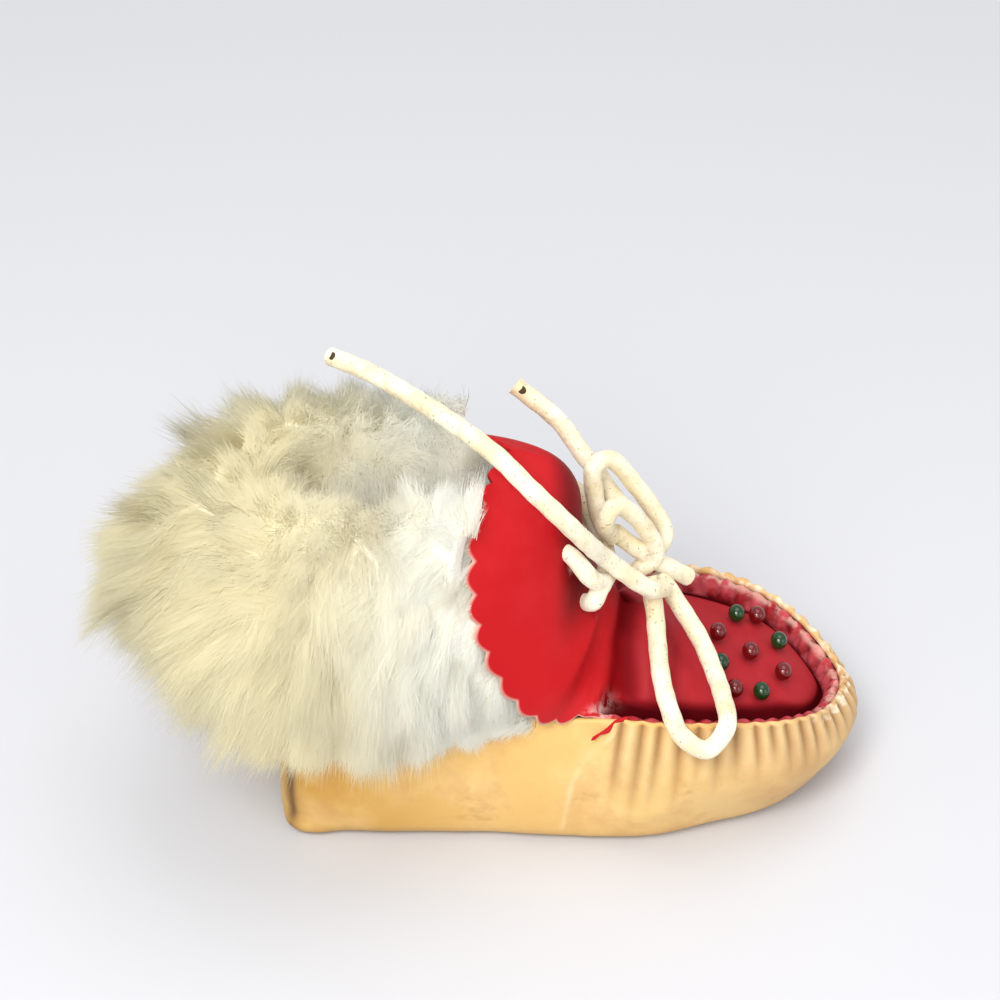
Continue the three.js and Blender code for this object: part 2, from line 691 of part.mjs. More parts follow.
// The insole lies on the floor of the bottom.
function insoleGeometry() {
  const shares = Array.from({ length: 32 }, (_, i) => i / 32);
  const edge = WALL[0].out - LEATHER - 2;
  const row = (scale, lift) =>
    shares.map((share) => {
      const tuck = TOE_TUCK * smoothstep(planPoint(share, 0).x, 2, 34);
      const p = planPoint(share, edge - tuck).multiplyScalar(scale);
      p.z = spring(p.x) + LEATHER + lift + INSOLE_TOE_LIFT * smoothstep(p.x, 10, 40);
      return p;
    });
  const middle = (lift) => shares.map(() => new THREE.Vector3(0, 0, LEATHER + lift));
  const bottom = GAP;
  const top = GAP + INSOLE;
  const under = [...FLOOR_RINGS].reverse().map((k) => row(k, bottom));
  const rows = [
    middle(bottom),
    ...under,
    row(1, bottom),
    row(1, top),
    ...FLOOR_RINGS.map((k) => row(k, top)),
    middle(top),
  ];
  const { points, triangles } = strips(rows, true);
  return geometryOf(points, triangles);
}

const shoe = new THREE.Group();
shoe.name = "baby_moccasin";

function addPart(name, geometry, material) {
  const mesh = new THREE.Mesh(geometry, material);
  mesh.name = name;
  shoe.add(mesh);
  return mesh;
}

const plugSheet = vampSheet(true, 0);
const slits = SLITS.flatMap((row) => [slitSolid(row, -1), slitSolid(row, 1)]);
const vampSolid = wasm.Manifold.difference([solidOf(thicken(plugSheet, 0, VAMP_LEATHER)), ...slits]);
const wingRoom = solidOf(thicken(vampSheet(false, 0.6), 40, VAMP_LEATHER + GAP));
const furSolid = wasm.Manifold.union([solidOf(cuffGeometry()), ...cuffLocks()]);
const furPieces = wasm.Manifold.difference([furSolid, wingRoom, bottomRoom()]).simplify(0.4).decompose();
const cuffSolid = furPieces.sort((a, b) => b.volume() - a.volume())[0];
const barSolid = solidOf(cord(wholeBar(BAR_UPPER))).add(solidOf(cord(wholeBar(BAR_LOWER))));
const knotSolid = solidOf(cord(KNOT_WRAP)).add(solidOf(cord(KNOT_BAND)));
const plug = new THREE.Mesh(plugSheet, RED);

addPart("moccasin_bottom", bottomGeometry(), TAN);
addPart("vamp", geometryFrom(vampSolid), RED);
addPart("fur_cuff", geometryFrom(cuffSolid), FUR);
addPart("insole", insoleGeometry(), FLEECE);
addPart("lace_bars", geometryFrom(barSolid), CORD);
addPart("lace_knot", geometryFrom(knotSolid), CORD);
addPart("lace_loop_low", cord(LOOP_LOW), CORD);
addPart("lace_loop_back", cord(LOOP_BACK), CORD);
addPart("lace_end_long", cord(END_LONG), CORD);
addPart("lace_end_short", cord(END_SHORT), CORD);
for (const row of BEADS) addPart(row.name, beadGeometry(row, plug), row.green ? GLASS_GREEN : GLASS_RED);

export default shoe;
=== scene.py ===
"""A fur-cuffed baby moccasin: fine leather, fur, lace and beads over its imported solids.

Shapes are worked out in millimetres in the shoe's own frame, +X to the toe and +Z up,
and become metres when a mesh is made.
"""
import math

import bpy
import numpy as np
from mathutils import Matrix, Vector
from mathutils.bvhtree import BVHTree


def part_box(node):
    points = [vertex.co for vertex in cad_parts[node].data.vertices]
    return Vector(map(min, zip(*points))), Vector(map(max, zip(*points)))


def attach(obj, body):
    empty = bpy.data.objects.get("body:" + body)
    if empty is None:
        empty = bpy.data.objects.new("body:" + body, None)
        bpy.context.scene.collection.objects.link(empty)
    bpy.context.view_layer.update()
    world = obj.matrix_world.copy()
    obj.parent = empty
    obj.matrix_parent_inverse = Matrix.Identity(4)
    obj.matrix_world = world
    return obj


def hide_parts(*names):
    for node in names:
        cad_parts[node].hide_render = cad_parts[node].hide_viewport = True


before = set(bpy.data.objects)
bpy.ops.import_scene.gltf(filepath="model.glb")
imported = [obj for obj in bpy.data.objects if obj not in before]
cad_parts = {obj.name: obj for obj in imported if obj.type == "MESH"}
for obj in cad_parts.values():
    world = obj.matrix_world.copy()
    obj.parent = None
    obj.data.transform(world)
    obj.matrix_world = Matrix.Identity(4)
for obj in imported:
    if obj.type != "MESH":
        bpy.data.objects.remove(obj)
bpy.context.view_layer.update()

MM = 0.001
SEED = 20

# Driving dimensions of the shoe, as its solids have them.
LEATHER = 1.6
VAMP_LEATHER = 1.4
GAP = 0.35
TOE_X = 63
TOE_SPRING = 4
SPRING_RUN = (30, TOE_X + 8)  # stations between which the sole rises to the toe
TOE_TUCK = 5.4
TUCK_RUN = (2, 34)  # stations between which the wall's foot draws in to the toe
HEEL_SQUARE = 2.4
SQUARE_RUN = (-55, -44)  # stations between which the heel's foot stops standing out
SEAM_END_X = 8
PUCKER_PITCH = 4
PUCKER_LIMIT = 1.15  # the deepest pucker stays within the leather's thickness
SCALLOP_PITCH = 5.6
SCALLOP_DEPTH = 1.3

# Plan of the bottom at its widest: station, half width.
OUTLINE = [
    (-57, 0),
    (-56.8, 10),
    (-55.6, 15),
    (-51, 18),
    (-34, 20.2),
    (-15, 22.6),
    (4, 25.4),
    (20, 28.8),
    (34, 28),
    (47, 23.8),
    (57, 15.2),
    (TOE_X, 0),
]
# Height of the bottom's rim: station, height.
RIM = [(-57, 33), (-30, 32), (0, 31), (12, 31.4), (26, 31), (40, 28.4), (52, 24.6), (63, 19.5)]
# Section of the wall: share of the rim's height, distance out of the plan.
WALL = [(0, -5), (0.05, -1.8), (0.2, -0.2), (0.52, 0), (0.84, -1.4), (1, -3)]
RIM_OUT = WALL[-1][1]

# Crest of the vamp from the toe to the tongue: station, height.
CREST = [
    (40, 27),
    (32, 30.6),
    (24, 36),
    (15, 44.5),
    (9, 49.5),
    (5.6, 55),
    (4.8, 63.5),
    (3.9, 73),
    (0.5, 78.5),
    (-3.5, 81),
]
PLUG_POLE_X = 40
THROAT_X = 15
# Free edge of the near wing, up to the tongue's tip: x, y, z, share of the crest that it rises to.
WING_EDGE = [
    (8, -21.6, 32.7, 0.413),
    (-1.4, -22, 33.8, 0.49),
    (-8, -23, 37, 0.55),
    (-13.6, -23, 43, 0.605),
    (-17.6, -22, 52, 0.665),
    (-19.5, -20, 62, 0.735),
    (-19.2, -16.5, 72, 0.82),
    (-17, -11.5, 78.5, 0.89),
    (-13.8, -5.8, 82.2, 0.95),
    (-9.2, 0, 83.5, 1),
]
LIP_OUT = RIM_OUT - LEATHER - GAP - VAMP_LEATHER
GROOVE_OUT = LIP_OUT - 1.4
GROOVE_DROP = 2.8
LIP_RISE = 0.3

# The fur cuff from its front end to the heel: share, low, top, depth out of the plan, lean.
CUFF = [
    (0, 32.6, 70, -0.6, 0),
    (0.2, 32, 83, 4.5, 0),
    (0.45, 28, 85, 9, 0),
    (0.7, 25, 85, 14, 1),
    (0.88, 23, 84, 20.5, 4),
    (1, 27, 82, 28, 8),
]
CUFF_FRONT_X = -2.5
PELT_OUT = -7

# Slits of the lace on the near side: x, y, z, lean of the slit along x.
SLITS = [(1.6, -11.2, 65.2, -0.12), (6, -11, 51.6, -0.5)]
SLIT_LENGTH = 5.5
SLIT_WIDTH = 1.1
LACE_DIAMETER = 3.7

# Beads of the rosette: a ring, green and red by turns, and a red one in the middle.
RING_BEADS = 8
BEAD_DIAMETER = 4
BEAD_LENGTH = 0.86  # share of the diameter along the foot
BEAD_HEIGHT = 0.9  # share of the diameter
BEAD_RINGS = 17
BEAD_SEGMENTS = 32

# The photograph's camera, in millimetres and degrees.
CAMERA_EYE = (-44.2, -420.3, 402.4)
CAMERA_AIM = (-11.3, 0, 70.7)
CAMERA_ROLL = 0.44
CAMERA_LENS = 100
CAMERA_SENSOR = 36
CAMERA_CLIP = (0.01, 20)  # metres


# Curves and tables

def smoothstep(x, low, high):
    t = np.clip((np.asarray(x, float) - low) / (high - low), 0, 1)
    return t * t * (3 - 2 * t)


def lerp(a, b, t):
    return a + (b - a) * t


def table(rows, column, at):
    """A column of a table at any key in its first column, by a smooth curve through the rows."""
    rows = sorted(rows)
    keys = np.array([row[0] for row in rows], float)
    values = np.array([row[column] for row in rows], float)
    before = np.r_[0, np.arange(len(rows) - 1)]
    after = np.r_[np.arange(1, len(rows)), len(rows) - 1]
    slopes = (values[after] - values[before]) / (keys[after] - keys[before])
    at = np.clip(np.asarray(at, float), keys[0], keys[-1])
    i = np.clip(np.searchsorted(keys, at, side="right") - 1, 0, len(rows) - 2)
    step = keys[i + 1] - keys[i]
    t = (at - keys[i]) / step
    return (
        (2 * t**3 - 3 * t**2 + 1) * values[i]
        + (t**3 - 2 * t**2 + t) * step * slopes[i]
        + (3 * t**2 - 2 * t**3) * values[i + 1]
        + (t**3 - t**2) * step * slopes[i + 1]
    )


def catmull(points, closed=False, fine=60):
    """Dense points of the centripetal curve through a list of points."""
    points = np.asarray(points, float)
    if closed:
        points = np.vstack([points[-1], points, points[:2]])
    else:
        points = np.vstack([2 * points[0] - points[1], points, 2 * points[-1] - points[-2]])
    made = []
    for p0, p1, p2, p3 in zip(points, points[1:], points[2:], points[3:]):
        k0, k1, k2 = (max(np.linalg.norm(b - a) ** 0.5, 1e-6) for a, b in ((p0, p1), (p1, p2), (p2, p3)))
        m1 = ((p1 - p0) / k0 - (p2 - p0) / (k0 + k1) + (p2 - p1) / k1) * k1
        m2 = ((p2 - p1) / k1 - (p3 - p1) / (k1 + k2) + (p3 - p2) / k2) * k1
        t = np.arange(fine)[:, None] / fine
        made.append(
            (2 * t**3 - 3 * t**2 + 1) * p1
            + (t**3 - 2 * t**2 + t) * m1
            + (3 * t**2 - 2 * t**3) * p2
            + (t**3 - t**2) * m2
        )
    made.append(points[-2][None])
    return np.vstack(made)


def lengths_along(points):
    return np.r_[0, np.cumsum(np.linalg.norm(np.diff(points, axis=0), axis=1))]


def at_share(points, share):
    """Points of a dense curve at shares of its length."""
    run = lengths_along(points)
    wanted = np.asarray(share, float) * run[-1]
    return np.stack([np.interp(wanted, run, points[:, k]) for k in range(points.shape[1])], -1)


def unit(v):
    return v / np.maximum(np.linalg.norm(v, axis=-1, keepdims=True), 1e-9)


PLAN_STEPS = 2400
PLAN_SPREAD = 66  # steps to both sides over which the plan's directions are evened out
HEEL_STEPS = 48  # steps across the heel, where the stations hardly rise

near_outline = [(x, -half) for x, half in OUTLINE]
far_outline = [(x, half) for x, half in OUTLINE[-2:0:-1]]
PLAN = catmull(near_outline + far_outline, closed=True, fine=80)
PLAN_LENGTH = lengths_along(PLAN)[-1]
PLAN_SHARES = np.linspace(0, 1, PLAN_STEPS + 1)
plan_dense = at_share(PLAN, PLAN_SHARES)
plan_step = unit(np.gradient(plan_dense[:-1], axis=0))
plan_turns = range(-PLAN_SPREAD, PLAN_SPREAD + 1, PLAN_SPREAD // 3)
plan_wide = sum(np.roll(plan_step, k, axis=0) for k in plan_turns)
PLAN_TANGENT = unit(np.vstack([plan_wide, plan_wide[:1]]))


def plan_point(share, out=0.0):
    """Points of the plan moved out of it, as (..., 2), and the outward directions there."""
    share = np.asarray(share, float) % 1
    p, t = (
        np.stack([np.interp(share, PLAN_SHARES, curve[:, k]) for k in (0, 1)], -1)
        for curve in (plan_dense, PLAN_TANGENT)
    )
    t = unit(t)
    normal = np.stack([t[..., 1], -t[..., 0]], -1)
    return p + normal * np.asarray(out, float)[..., None], normal


def plan_share_at(x):
    """Share of the plan where its near side passes a station."""
    half = len(PLAN_SHARES) // 2
    rising = slice(HEEL_STEPS, half)
    return np.interp(x, plan_dense[rising, 0], PLAN_SHARES[rising])


SEAM_SHARE = float(plan_share_at(SEAM_END_X))
SEAM_LENGTH = (1 - 2 * SEAM_SHARE) * PLAN_LENGTH
PUCKERS = round(SEAM_LENGTH / PUCKER_PITCH)


def rim_z(x):
    return table(RIM, 1, x)


def spring(x):
    """Height of the sole over the floor at stations."""
    return TOE_SPRING * smoothstep(x, *SPRING_RUN) ** 1.5


# Meshes

def add_object(name, data):
    made = bpy.data.objects.new(name, data)
    bpy.context.collection.objects.link(made)
    return made


def mesh_object(name, points, faces, material, attributes=None):
    """A smooth mesh from points in millimetres and an (n, 3) or (n, 4) array of corners."""
    faces = np.asarray(faces, np.int32)
    corners = faces.shape[1]
    mesh = bpy.data.meshes.new(name)
    mesh.vertices.add(len(points))
    mesh.vertices.foreach_set("co", (np.asarray(points) * MM).astype(np.float32).ravel())
    mesh.loops.add(faces.size)
    mesh.loops.foreach_set("vertex_index", faces.ravel())
    mesh.polygons.add(len(faces))
    mesh.polygons.foreach_set("loop_start", np.arange(0, faces.size, corners, dtype=np.int32))
    mesh.polygons.foreach_set("use_smooth", np.ones(len(faces), bool))
    for key, values in (attributes or {}).items():
        layer = mesh.attributes.new(key, "FLOAT", "POINT")
        layer.data.foreach_set("value", np.asarray(values, np.float32).ravel())
    mesh.update(calc_edges=True)
    mesh.validate()
    mesh.materials.append(material)
    return add_object(name, mesh)


def grid_faces(rows, columns, closed):
    """Triangles between the rows of a grid of points, closed round each row or open."""
    j, i = np.meshgrid(np.arange(rows - 1), np.arange(columns if closed else columns - 1), indexing="ij")
    a = j * columns + i
    b = j * columns + (i + 1) % columns
    quads = np.stack([a, b, b + columns, a + columns], -1).reshape(-1, 4)
    return np.vstack([quads[:, [0, 1, 2]], quads[:, [0, 2, 3]]])


def welded(points, triangles, extra):
    """Points joined where they coincide, with the triangles and point values that are left."""
    keys = np.round(points * 1000).astype(np.int64)
    _, first, back = np.unique(keys, axis=0, return_index=True, return_inverse=True)
    triangles = back.ravel()[triangles]
    a, b, c = triangles.T
    triangles = triangles[(a != b) & (b != c) & (c != a)]
    return points[first], triangles, {key: np.asarray(value)[first] for key, value in extra.items()}


def vertex_normals(points, triangles):
    corner = points[triangles]
    face = np.cross(corner[:, 1] - corner[:, 0], corner[:, 2] - corner[:, 0])
    total = np.zeros_like(points)
    for k in range(3):
        np.add.at(total, triangles[:, k], face)
    return unit(total)


def dress(obj, slot, *nodes):
    """Puts a piece on the shoe's one body, in the place of its solids."""
    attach(obj, "root")
    if nodes:
        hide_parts(*nodes)
    return obj


# Materials

FUR_LIGHT_THROUGH = 0.42  # share of the light on a strand that passes through it


def new_material(name, roughness, **values):
    material = bpy.data.materials.new(name)
    material.use_nodes = True
    shader = material.node_tree.nodes["Principled BSDF"]
    shader.inputs["Roughness"].default_value = roughness
    for key, value in values.items():
        shader.inputs[key.replace("_", " ")].default_value = value
    return material, material.node_tree, shader


def colour(code):
    """A linear colour from a six-digit one."""
    parts = [int(code[k : k + 2], 16) / 255 for k in (0, 2, 4)]
    return tuple(((c + 0.055) / 1.055) ** 2.4 if c > 0.04045 else c / 12.92 for c in parts) + (1.0,)


def noise(tree, scale, detail=3.0, roughness=0.55, stretch=None):
    coordinates = tree.nodes.new("ShaderNodeTexCoord")
    place = coordinates.outputs["Object"]
    if stretch:
        mapping = tree.nodes.new("ShaderNodeMapping")
        mapping.inputs["Scale"].default_value = stretch
        tree.links.new(place, mapping.inputs["Vector"])
        place = mapping.outputs["Vector"]
    node = tree.nodes.new("ShaderNodeTexNoise")
    node.inputs["Scale"].default_value = scale
    node.inputs["Detail"].default_value = detail
    node.inputs["Roughness"].default_value = roughness
    tree.links.new(place, node.inputs["Vector"])
    return node.outputs["Fac"]


def pores(tree, scale):
    coordinates = tree.nodes.new("ShaderNodeTexCoord")
    node = tree.nodes.new("ShaderNodeTexVoronoi")
    node.inputs["Scale"].default_value = scale
    tree.links.new(coordinates.outputs["Object"], node.inputs["Vector"])
    return node.outputs["Distance"]


def station(tree, axis, low, high):
    """A share that runs from 0 to 1 between two places along an axis, in millimetres."""
    coordinates = tree.nodes.new("ShaderNodeTexCoord")
    split = tree.nodes.new("ShaderNodeSeparateXYZ")
    tree.links.new(coordinates.outputs["Object"], split.inputs["Vector"])
    return remap(tree, split.outputs[axis], low * MM, high * MM)


def attribute(tree, name):
    node = tree.nodes.new("ShaderNodeAttribute")
    node.attribute_name = name
    return node.outputs["Fac"]


def remap(tree, value, low, high, to_low=0.0, to_high=1.0):
    node = tree.nodes.new("ShaderNodeMapRange")
    node.interpolation_type = "SMOOTHSTEP"
    tree.links.new(value, node.inputs["Value"])
    for key, number in zip(("From Min", "From Max", "To Min", "To Max"), (low, high, to_low, to_high)):
        node.inputs[key].default_value = number
    return node.outputs["Result"]


def multiply(tree, a, b):
    node = tree.nodes.new("ShaderNodeMath")
    node.operation = "MULTIPLY"
    for socket, value in zip(node.inputs, (a, b)):
        if isinstance(value, (int, float)):
            socket.default_value = value
        else:
            tree.links.new(value, socket)
    return node.outputs["Value"]


def mix(tree, share, a, b):
    """A colour between two, each a socket or a six-digit code."""
    node = tree.nodes.new("ShaderNodeMix")
    node.data_type = "RGBA"
    tree.links.new(share, node.inputs[0])
    for socket, value in zip((node.inputs[6], node.inputs[7]), (a, b)):
        if isinstance(value, str):
            socket.default_value = colour(value)
        else:
            tree.links.new(value, socket)
    return node.outputs[2]


def bump(tree, height, distance_mm, strength=1.0, under=None):
    node = tree.nodes.new("ShaderNodeBump")
    node.inputs["Strength"].default_value = strength
    node.inputs["Distance"].default_value = distance_mm * MM
    tree.links.new(height, node.inputs["Height"])
    if under is not None:
        tree.links.new(under, node.inputs["Normal"])
    return node.outputs["Normal"]


def tan_leather():
    material, tree, shader = new_material("tan_leather", 0.6, Specular_IOR_Level=0.3)
    tone = mix(tree, station(tree, "X", -54, -10), "C2923F", "DDB36C")
    tone = mix(tree, station(tree, "X", 12, 58), tone, "C79C67")
    patches = remap(tree, noise(tree, 45, 4), 0.4, 0.7)
    tone = mix(tree, multiply(tree, patches, 0.6), tone, "EBCB8E")
    blush = remap(tree, noise(tree, 95, 4, 0.6), 0.45, 0.72)
    tone = mix(tree, multiply(tree, blush, 0.4), tone, "C08A55")
    smudges = remap(tree, noise(tree, 70, 5, 0.65, (1, 1, 1.6)), 0.58, 0.76)
    tone = mix(tree, multiply(tree, smudges, 0.45), tone, "A5793F")
    # painted shade: the valleys of the gathers are darkened
    tone = mix(tree, multiply(tree, attribute(tree, "valley"), 0.8), tone, "84562A")
    # painted highlight: the gathers' ridge tops by the rim and the light crease are paler, partly their own
    # wear and partly light on them
    tone = mix(tree, multiply(tree, attribute(tree, "light"), 0.45), tone, "F0D8A8")
    # painted shade: a dark line down the heel's corner creases
    tone = mix(tree, multiply(tree, attribute(tree, "dark"), 0.85), tone, "54331A")
    worn = multiply(tree, attribute(tree, "tip"), remap(tree, noise(tree, 420, 2), 0.4, 0.62))
    tone = mix(tree, worn, tone, "EBDCC0")
    tree.links.new(tone, shader.inputs["Base Color"])
    grain = bump(tree, noise(tree, 1500, 3, 0.6), 0.1, 0.35)
    tree.links.new(bump(tree, noise(tree, 210, 4, 0.6), 0.45, 0.4, grain), shader.inputs["Normal"])
    tree.links.new(remap(tree, noise(tree, 90, 3), 0.3, 0.75, 0.48, 0.72), shader.inputs["Roughness"])
    return material


def red_leather():
    material, tree, shader = new_material("red_leather", 0.6, Specular_IOR_Level=0.12)
    tone = mix(tree, attribute(tree, "plug"), "B4141A", "A5242B")
    cloudy = remap(tree, noise(tree, 60, 4), 0.4, 0.72)
    tone = mix(tree, multiply(tree, cloudy, 0.3), tone, "C43338")
    # painted shade where the vamp's top turns away from the light behind the lace
    tone = mix(tree, multiply(tree, attribute(tree, "deep"), 0.75), tone, "560D11")
    # painted shade: the seam's groove, the throat's crease, the line between the slits and the gaps between
    # the lip's pads are darkened
    tone = mix(tree, multiply(tree, attribute(tree, "groove"), 0.95), tone, "3E0509")
    pleats = multiply(tree, attribute(tree, "lip"), remap(tree, noise(tree, 300, 3), 0.35, 0.65))
    tone = mix(tree, multiply(tree, pleats, 0.8), tone, "C0535A")
    worn = multiply(tree, attribute(tree, "tip"), remap(tree, noise(tree, 420, 2), 0.38, 0.6))
    tone = mix(tree, multiply(tree, worn, 0.6), tone, "D9AFA0")
    tone = mix(tree, attribute(tree, "raw"), tone, "DDB3A4")
    gloss = remap(tree, attribute(tree, "groove"), 0.0, 0.6, 0.12, 0.0)
    tree.links.new(gloss, shader.inputs["Specular IOR Level"])
    scuffed = multiply(tree, attribute(tree, "scuff"), remap(tree, noise(tree, 380, 4, 0.65), 0.42, 0.6))
    tone = mix(tree, scuffed, tone, "EFC9C4")
    tree.links.new(tone, shader.inputs["Base Color"])
    grain = bump(tree, noise(tree, 1700, 3, 0.6), 0.08, 0.3)
    tree.links.new(bump(tree, noise(tree, 160, 4, 0.55), 0.4, 0.3, grain), shader.inputs["Normal"])
    tree.links.new(remap(tree, noise(tree, 80, 3), 0.3, 0.75, 0.52, 0.72), shader.inputs["Roughness"])
    return material


def fur_tone(tree):
    tone = mix(tree, station(tree, "X", -58, -22), "EEE6C3", "EFF0E8")
    tone = mix(tree, multiply(tree, attribute(tree, "tint"), 0.25), tone, "EADDB2")
    # painted shade in the hollows of the pile and at the shoe's mouth
    tone = mix(tree, multiply(tree, attribute(tree, "hollow"), 0.55), tone, "C6BA96")
    return mix(tree, multiply(tree, attribute(tree, "shade"), 0.3), tone, "E9E0C4")


def fur_material():
    material, tree, shader = new_material("rabbit_fur", 0.85, Specular_IOR_Level=0.1)
    shader.inputs["Sheen Weight"].default_value = 0.2
    tone = fur_tone(tree)
    tree.links.new(tone, shader.inputs["Base Color"])
    through = tree.nodes.new("ShaderNodeBsdfTranslucent")
    tree.links.new(tone, through.inputs["Color"])
    both = tree.nodes.new("ShaderNodeMixShader")
    both.inputs[0].default_value = FUR_LIGHT_THROUGH
    tree.links.new(shader.outputs[0], both.inputs[1])
    tree.links.new(through.outputs[0], both.inputs[2])
    tree.links.new(both.outputs[0], tree.nodes["Material Output"].inputs["Surface"])
    return material


def undercoat_material():
    material, tree, shader = new_material("undercoat", 0.95, Specular_IOR_Level=0.05)
    shader.inputs["Sheen Weight"].default_value = 0.3
    tree.links.new(fur_tone(tree), shader.inputs["Base Color"])
    tree.links.new(bump(tree, noise(tree, 420, 4, 0.65), 1.2, 0.6), shader.inputs["Normal"])
    return material


def cord_material():
    material, tree, shader = new_material("cord", 0.8, Specular_IOR_Level=0.25)
    shader.inputs["Sheen Weight"].default_value = 0.3
    specks = remap(tree, noise(tree, 1500, 2, 0.5), 0.63, 0.72)
    tone = mix(tree, remap(tree, noise(tree, 120, 3), 0.35, 0.7), "E2D3AC", "F3EBD3")
    grime = remap(tree, noise(tree, 330, 4, 0.6), 0.52, 0.72)
    tone = mix(tree, multiply(tree, grime, 0.4), tone, "B3A07A")
    tone = mix(tree, multiply(tree, specks, 0.6), tone, "7A6A4A")
    tree.links.new(tone, shader.inputs["Base Color"])
    knit = bump(tree, noise(tree, 700, 3, 0.6), 0.35, 0.6)
    tree.links.new(bump(tree, pores(tree, 900), 0.25, 0.4, knit), shader.inputs["Normal"])
    return material


def fleece_material():
    material, tree, shader = new_material("fleece", 0.95, Specular_IOR_Level=0.1)
    tree.links.new(mix(tree, noise(tree, 300, 4), "CDBF98", "EEE4C8"), shader.inputs["Base Color"])
    tree.links.new(bump(tree, noise(tree, 500, 4, 0.7), 1.2, 0.8), shader.inputs["Normal"])
    return material


def bead_material(name, code):
    material, _, shader = new_material(name, 0.14, Coat_Weight=0.5, Coat_Roughness=0.05)
    shader.inputs["Base Color"].default_value = colour(code)
    shader.inputs["Specular IOR Level"].default_value = 0.35
    return material


def plain_material(name, code, roughness):
    material, _, shader = new_material(name, roughness, Specular_IOR_Level=0.2)
    shader.inputs["Base Color"].default_value = colour(code)
    return material


TAN = tan_leather()
RED = red_leather()
FUR = fur_material()
UNDERCOAT = undercoat_material()
CORD = cord_material()
FLEECE = fleece_material()
GREEN_GLASS = bead_material("green_bead", "103410")
RED_GLASS = bead_material("red_bead", "64070A")
# the dark of the cords' hollow tips is painted shade
DARK_HOLE = plain_material("lace_hollow", "4A3A26", 0.9)
RED_THREAD = plain_material("red_thread", "B5161C", 0.7)


# Camera, floor and light come before the pieces

# Lamps, all aimed at the shoe's middle: name, place in metres, size, power, tint.
LAMPS = [
    ("key", (-0.3, -0.8, 0.8), 0.8, 7, (1, 0.98, 0.95)),
    ("top", (0.1, 0.15, 1.0), 0.7, 3, (1, 1, 1)),
    ("glint", (-0.25, -0.45, 0.75), 0.3, 3.2, (1, 1, 1)),
    ("fill", (0.8, -0.5, 0.45), 0.6, 1.5, (0.95, 0.97, 1)),
]
LAMP_AIM = (0, 0, 0.04)
FLOOR_SIZE = 8
SKY_TINT = (0.95, 0.97, 1.0, 1)
SKY_STRENGTH = 0.7


def add_camera():
    camera = add_object("camera", bpy.data.cameras.new("camera"))
    camera.data.lens = CAMERA_LENS
    camera.data.sensor_width = CAMERA_SENSOR
    eye = Vector(CAMERA_EYE) * MM
    aim = Vector(CAMERA_AIM) * MM
    turn = (aim - eye).to_track_quat("-Z", "Y").to_matrix().to_4x4()
    camera.matrix_world = Matrix.Translation(eye) @ turn @ Matrix.Rotation(-math.radians(CAMERA_ROLL), 4, "Z")
    camera.data.clip_start, camera.data.clip_end = CAMERA_CLIP
    bpy.context.scene.camera = camera


def add_lamp(name, place, size, power, tint):
    light = bpy.data.lights.new(name, "AREA")
    light.shape = "SQUARE"
    light.size = size
    light.energy = power
    light.color = tint
    made = add_object(name, light)
    made.location = place
    made.rotation_euler = (Vector(LAMP_AIM) - Vector(place)).to_track_quat("-Z", "Y").to_euler()


def add_stage():
    floor_material = plain_material("floor", "C9C9CC", 0.6)
    bpy.ops.mesh.primitive_plane_add(size=FLOOR_SIZE, location=(0, 0, 0))
    floor = bpy.context.object
    floor.name = "floor"
    floor.data.materials.append(floor_material)
    world = bpy.data.worlds.new("studio")
    world.use_nodes = True
    background = world.node_tree.nodes["Background"]
    background.inputs["Color"].default_value = SKY_TINT
    background.inputs["Strength"].default_value = SKY_STRENGTH
    bpy.context.scene.world = world
    bpy.context.scene.view_settings.view_transform = "Standard"
    for lamp in LAMPS:
        add_lamp(*lamp)


# The tan bottom

# Valleys between gathers: ranges in millimetres, or in shares of the wall for the reach.
PUCKER_DEPTH = (0.7, 1.6)
PUCKER_REACH = (0.35, 0.7)
PUCKER_HALF_WIDTH = (0.95, 1.5)
PUCKER_JITTER = 0.12  # share of the pitch
LONG_DEEPER, LONG_LOWER, LONG_SLANT = 0.3, 0.3, 0.8  # what the long ones by the seam's ends have more
SEAM_BLUR = 0.012  # share of the seam in which its end dies out
RIDGE_HEIGHT = 0.5
COLUMNS_A_PUCKER = 14
SIDE_COLUMNS = 150
WALL_LIFTS = np.r_[0, 0.012, 0.03, 0.05, np.linspace(0.09, 1, 44)]
INSIDE_ROWS = 10
ROLL_STEPS = 7
ROLL_HEIGHT = 0.9
SOLE_RINGS = 7
RUBBED_SIDE = (-6, 8)  # the seam is rubbed from here to the far side
RUBBED_TOE = (48, 56)  # and from here to the toe
TIP_ROWS = 3  # rows of the wall below its rolled edge that are rubbed, and one more inside
# Soft folds of the tan wall: points of the line, half width, height (troughs are negative).
LIGHT_CREASE = [
    (10.2, -24, 30.5),
    (6, -24.8, 27),
    (3.6, -25, 24),
    (0.6, -25, 17.6),
    (-1, -24, 5),
    (-1.2, -20, 0),
]
WALL_FOLDS = [
    (LIGHT_CREASE, 0.55, 0.3),
    ([(4, -25, 29), (2.5, -25.6, 16), (1.5, -24, 5)], 2.6, -0.45),
    ([(12, -27, 27), (9, -26, 15), (8, -25, 6)], 3.2, -0.35),
    ([(-12, -22, 30), (-14, -23, 16), (-15, -21, 5)], 5, -0.5),
    ([(-34, -20, 28), (-36, -20, 14), (-36, -18, 4)], 6, 0.5),
    ([(24, -28, 22), (20, -27, 12), (10, -25, 8)], 3, 0.5),
    ([(2, 25, 30), (0, 25.4, 16), (-2, 24, 4)], 2.4, -0.6),
    ([(13, 27, 27), (10, 26, 14), (9, 25, 6)], 3, -0.35),
    ([(-24, 21, 30), (-22, 21, 14), (-22, 20, 5)], 5, -0.5),
]
HEEL_CORNERS = [[(-54, side * 13, 34), (-54.9, side * 15.5, 18), (-54.6, side * 14.8, 2)] for side in (-1, 1)]
HEEL_CREASE = (0.9, 0.5)  # half width, depth
HEEL_SHADE = 1.5  # half width of the painted shade along it
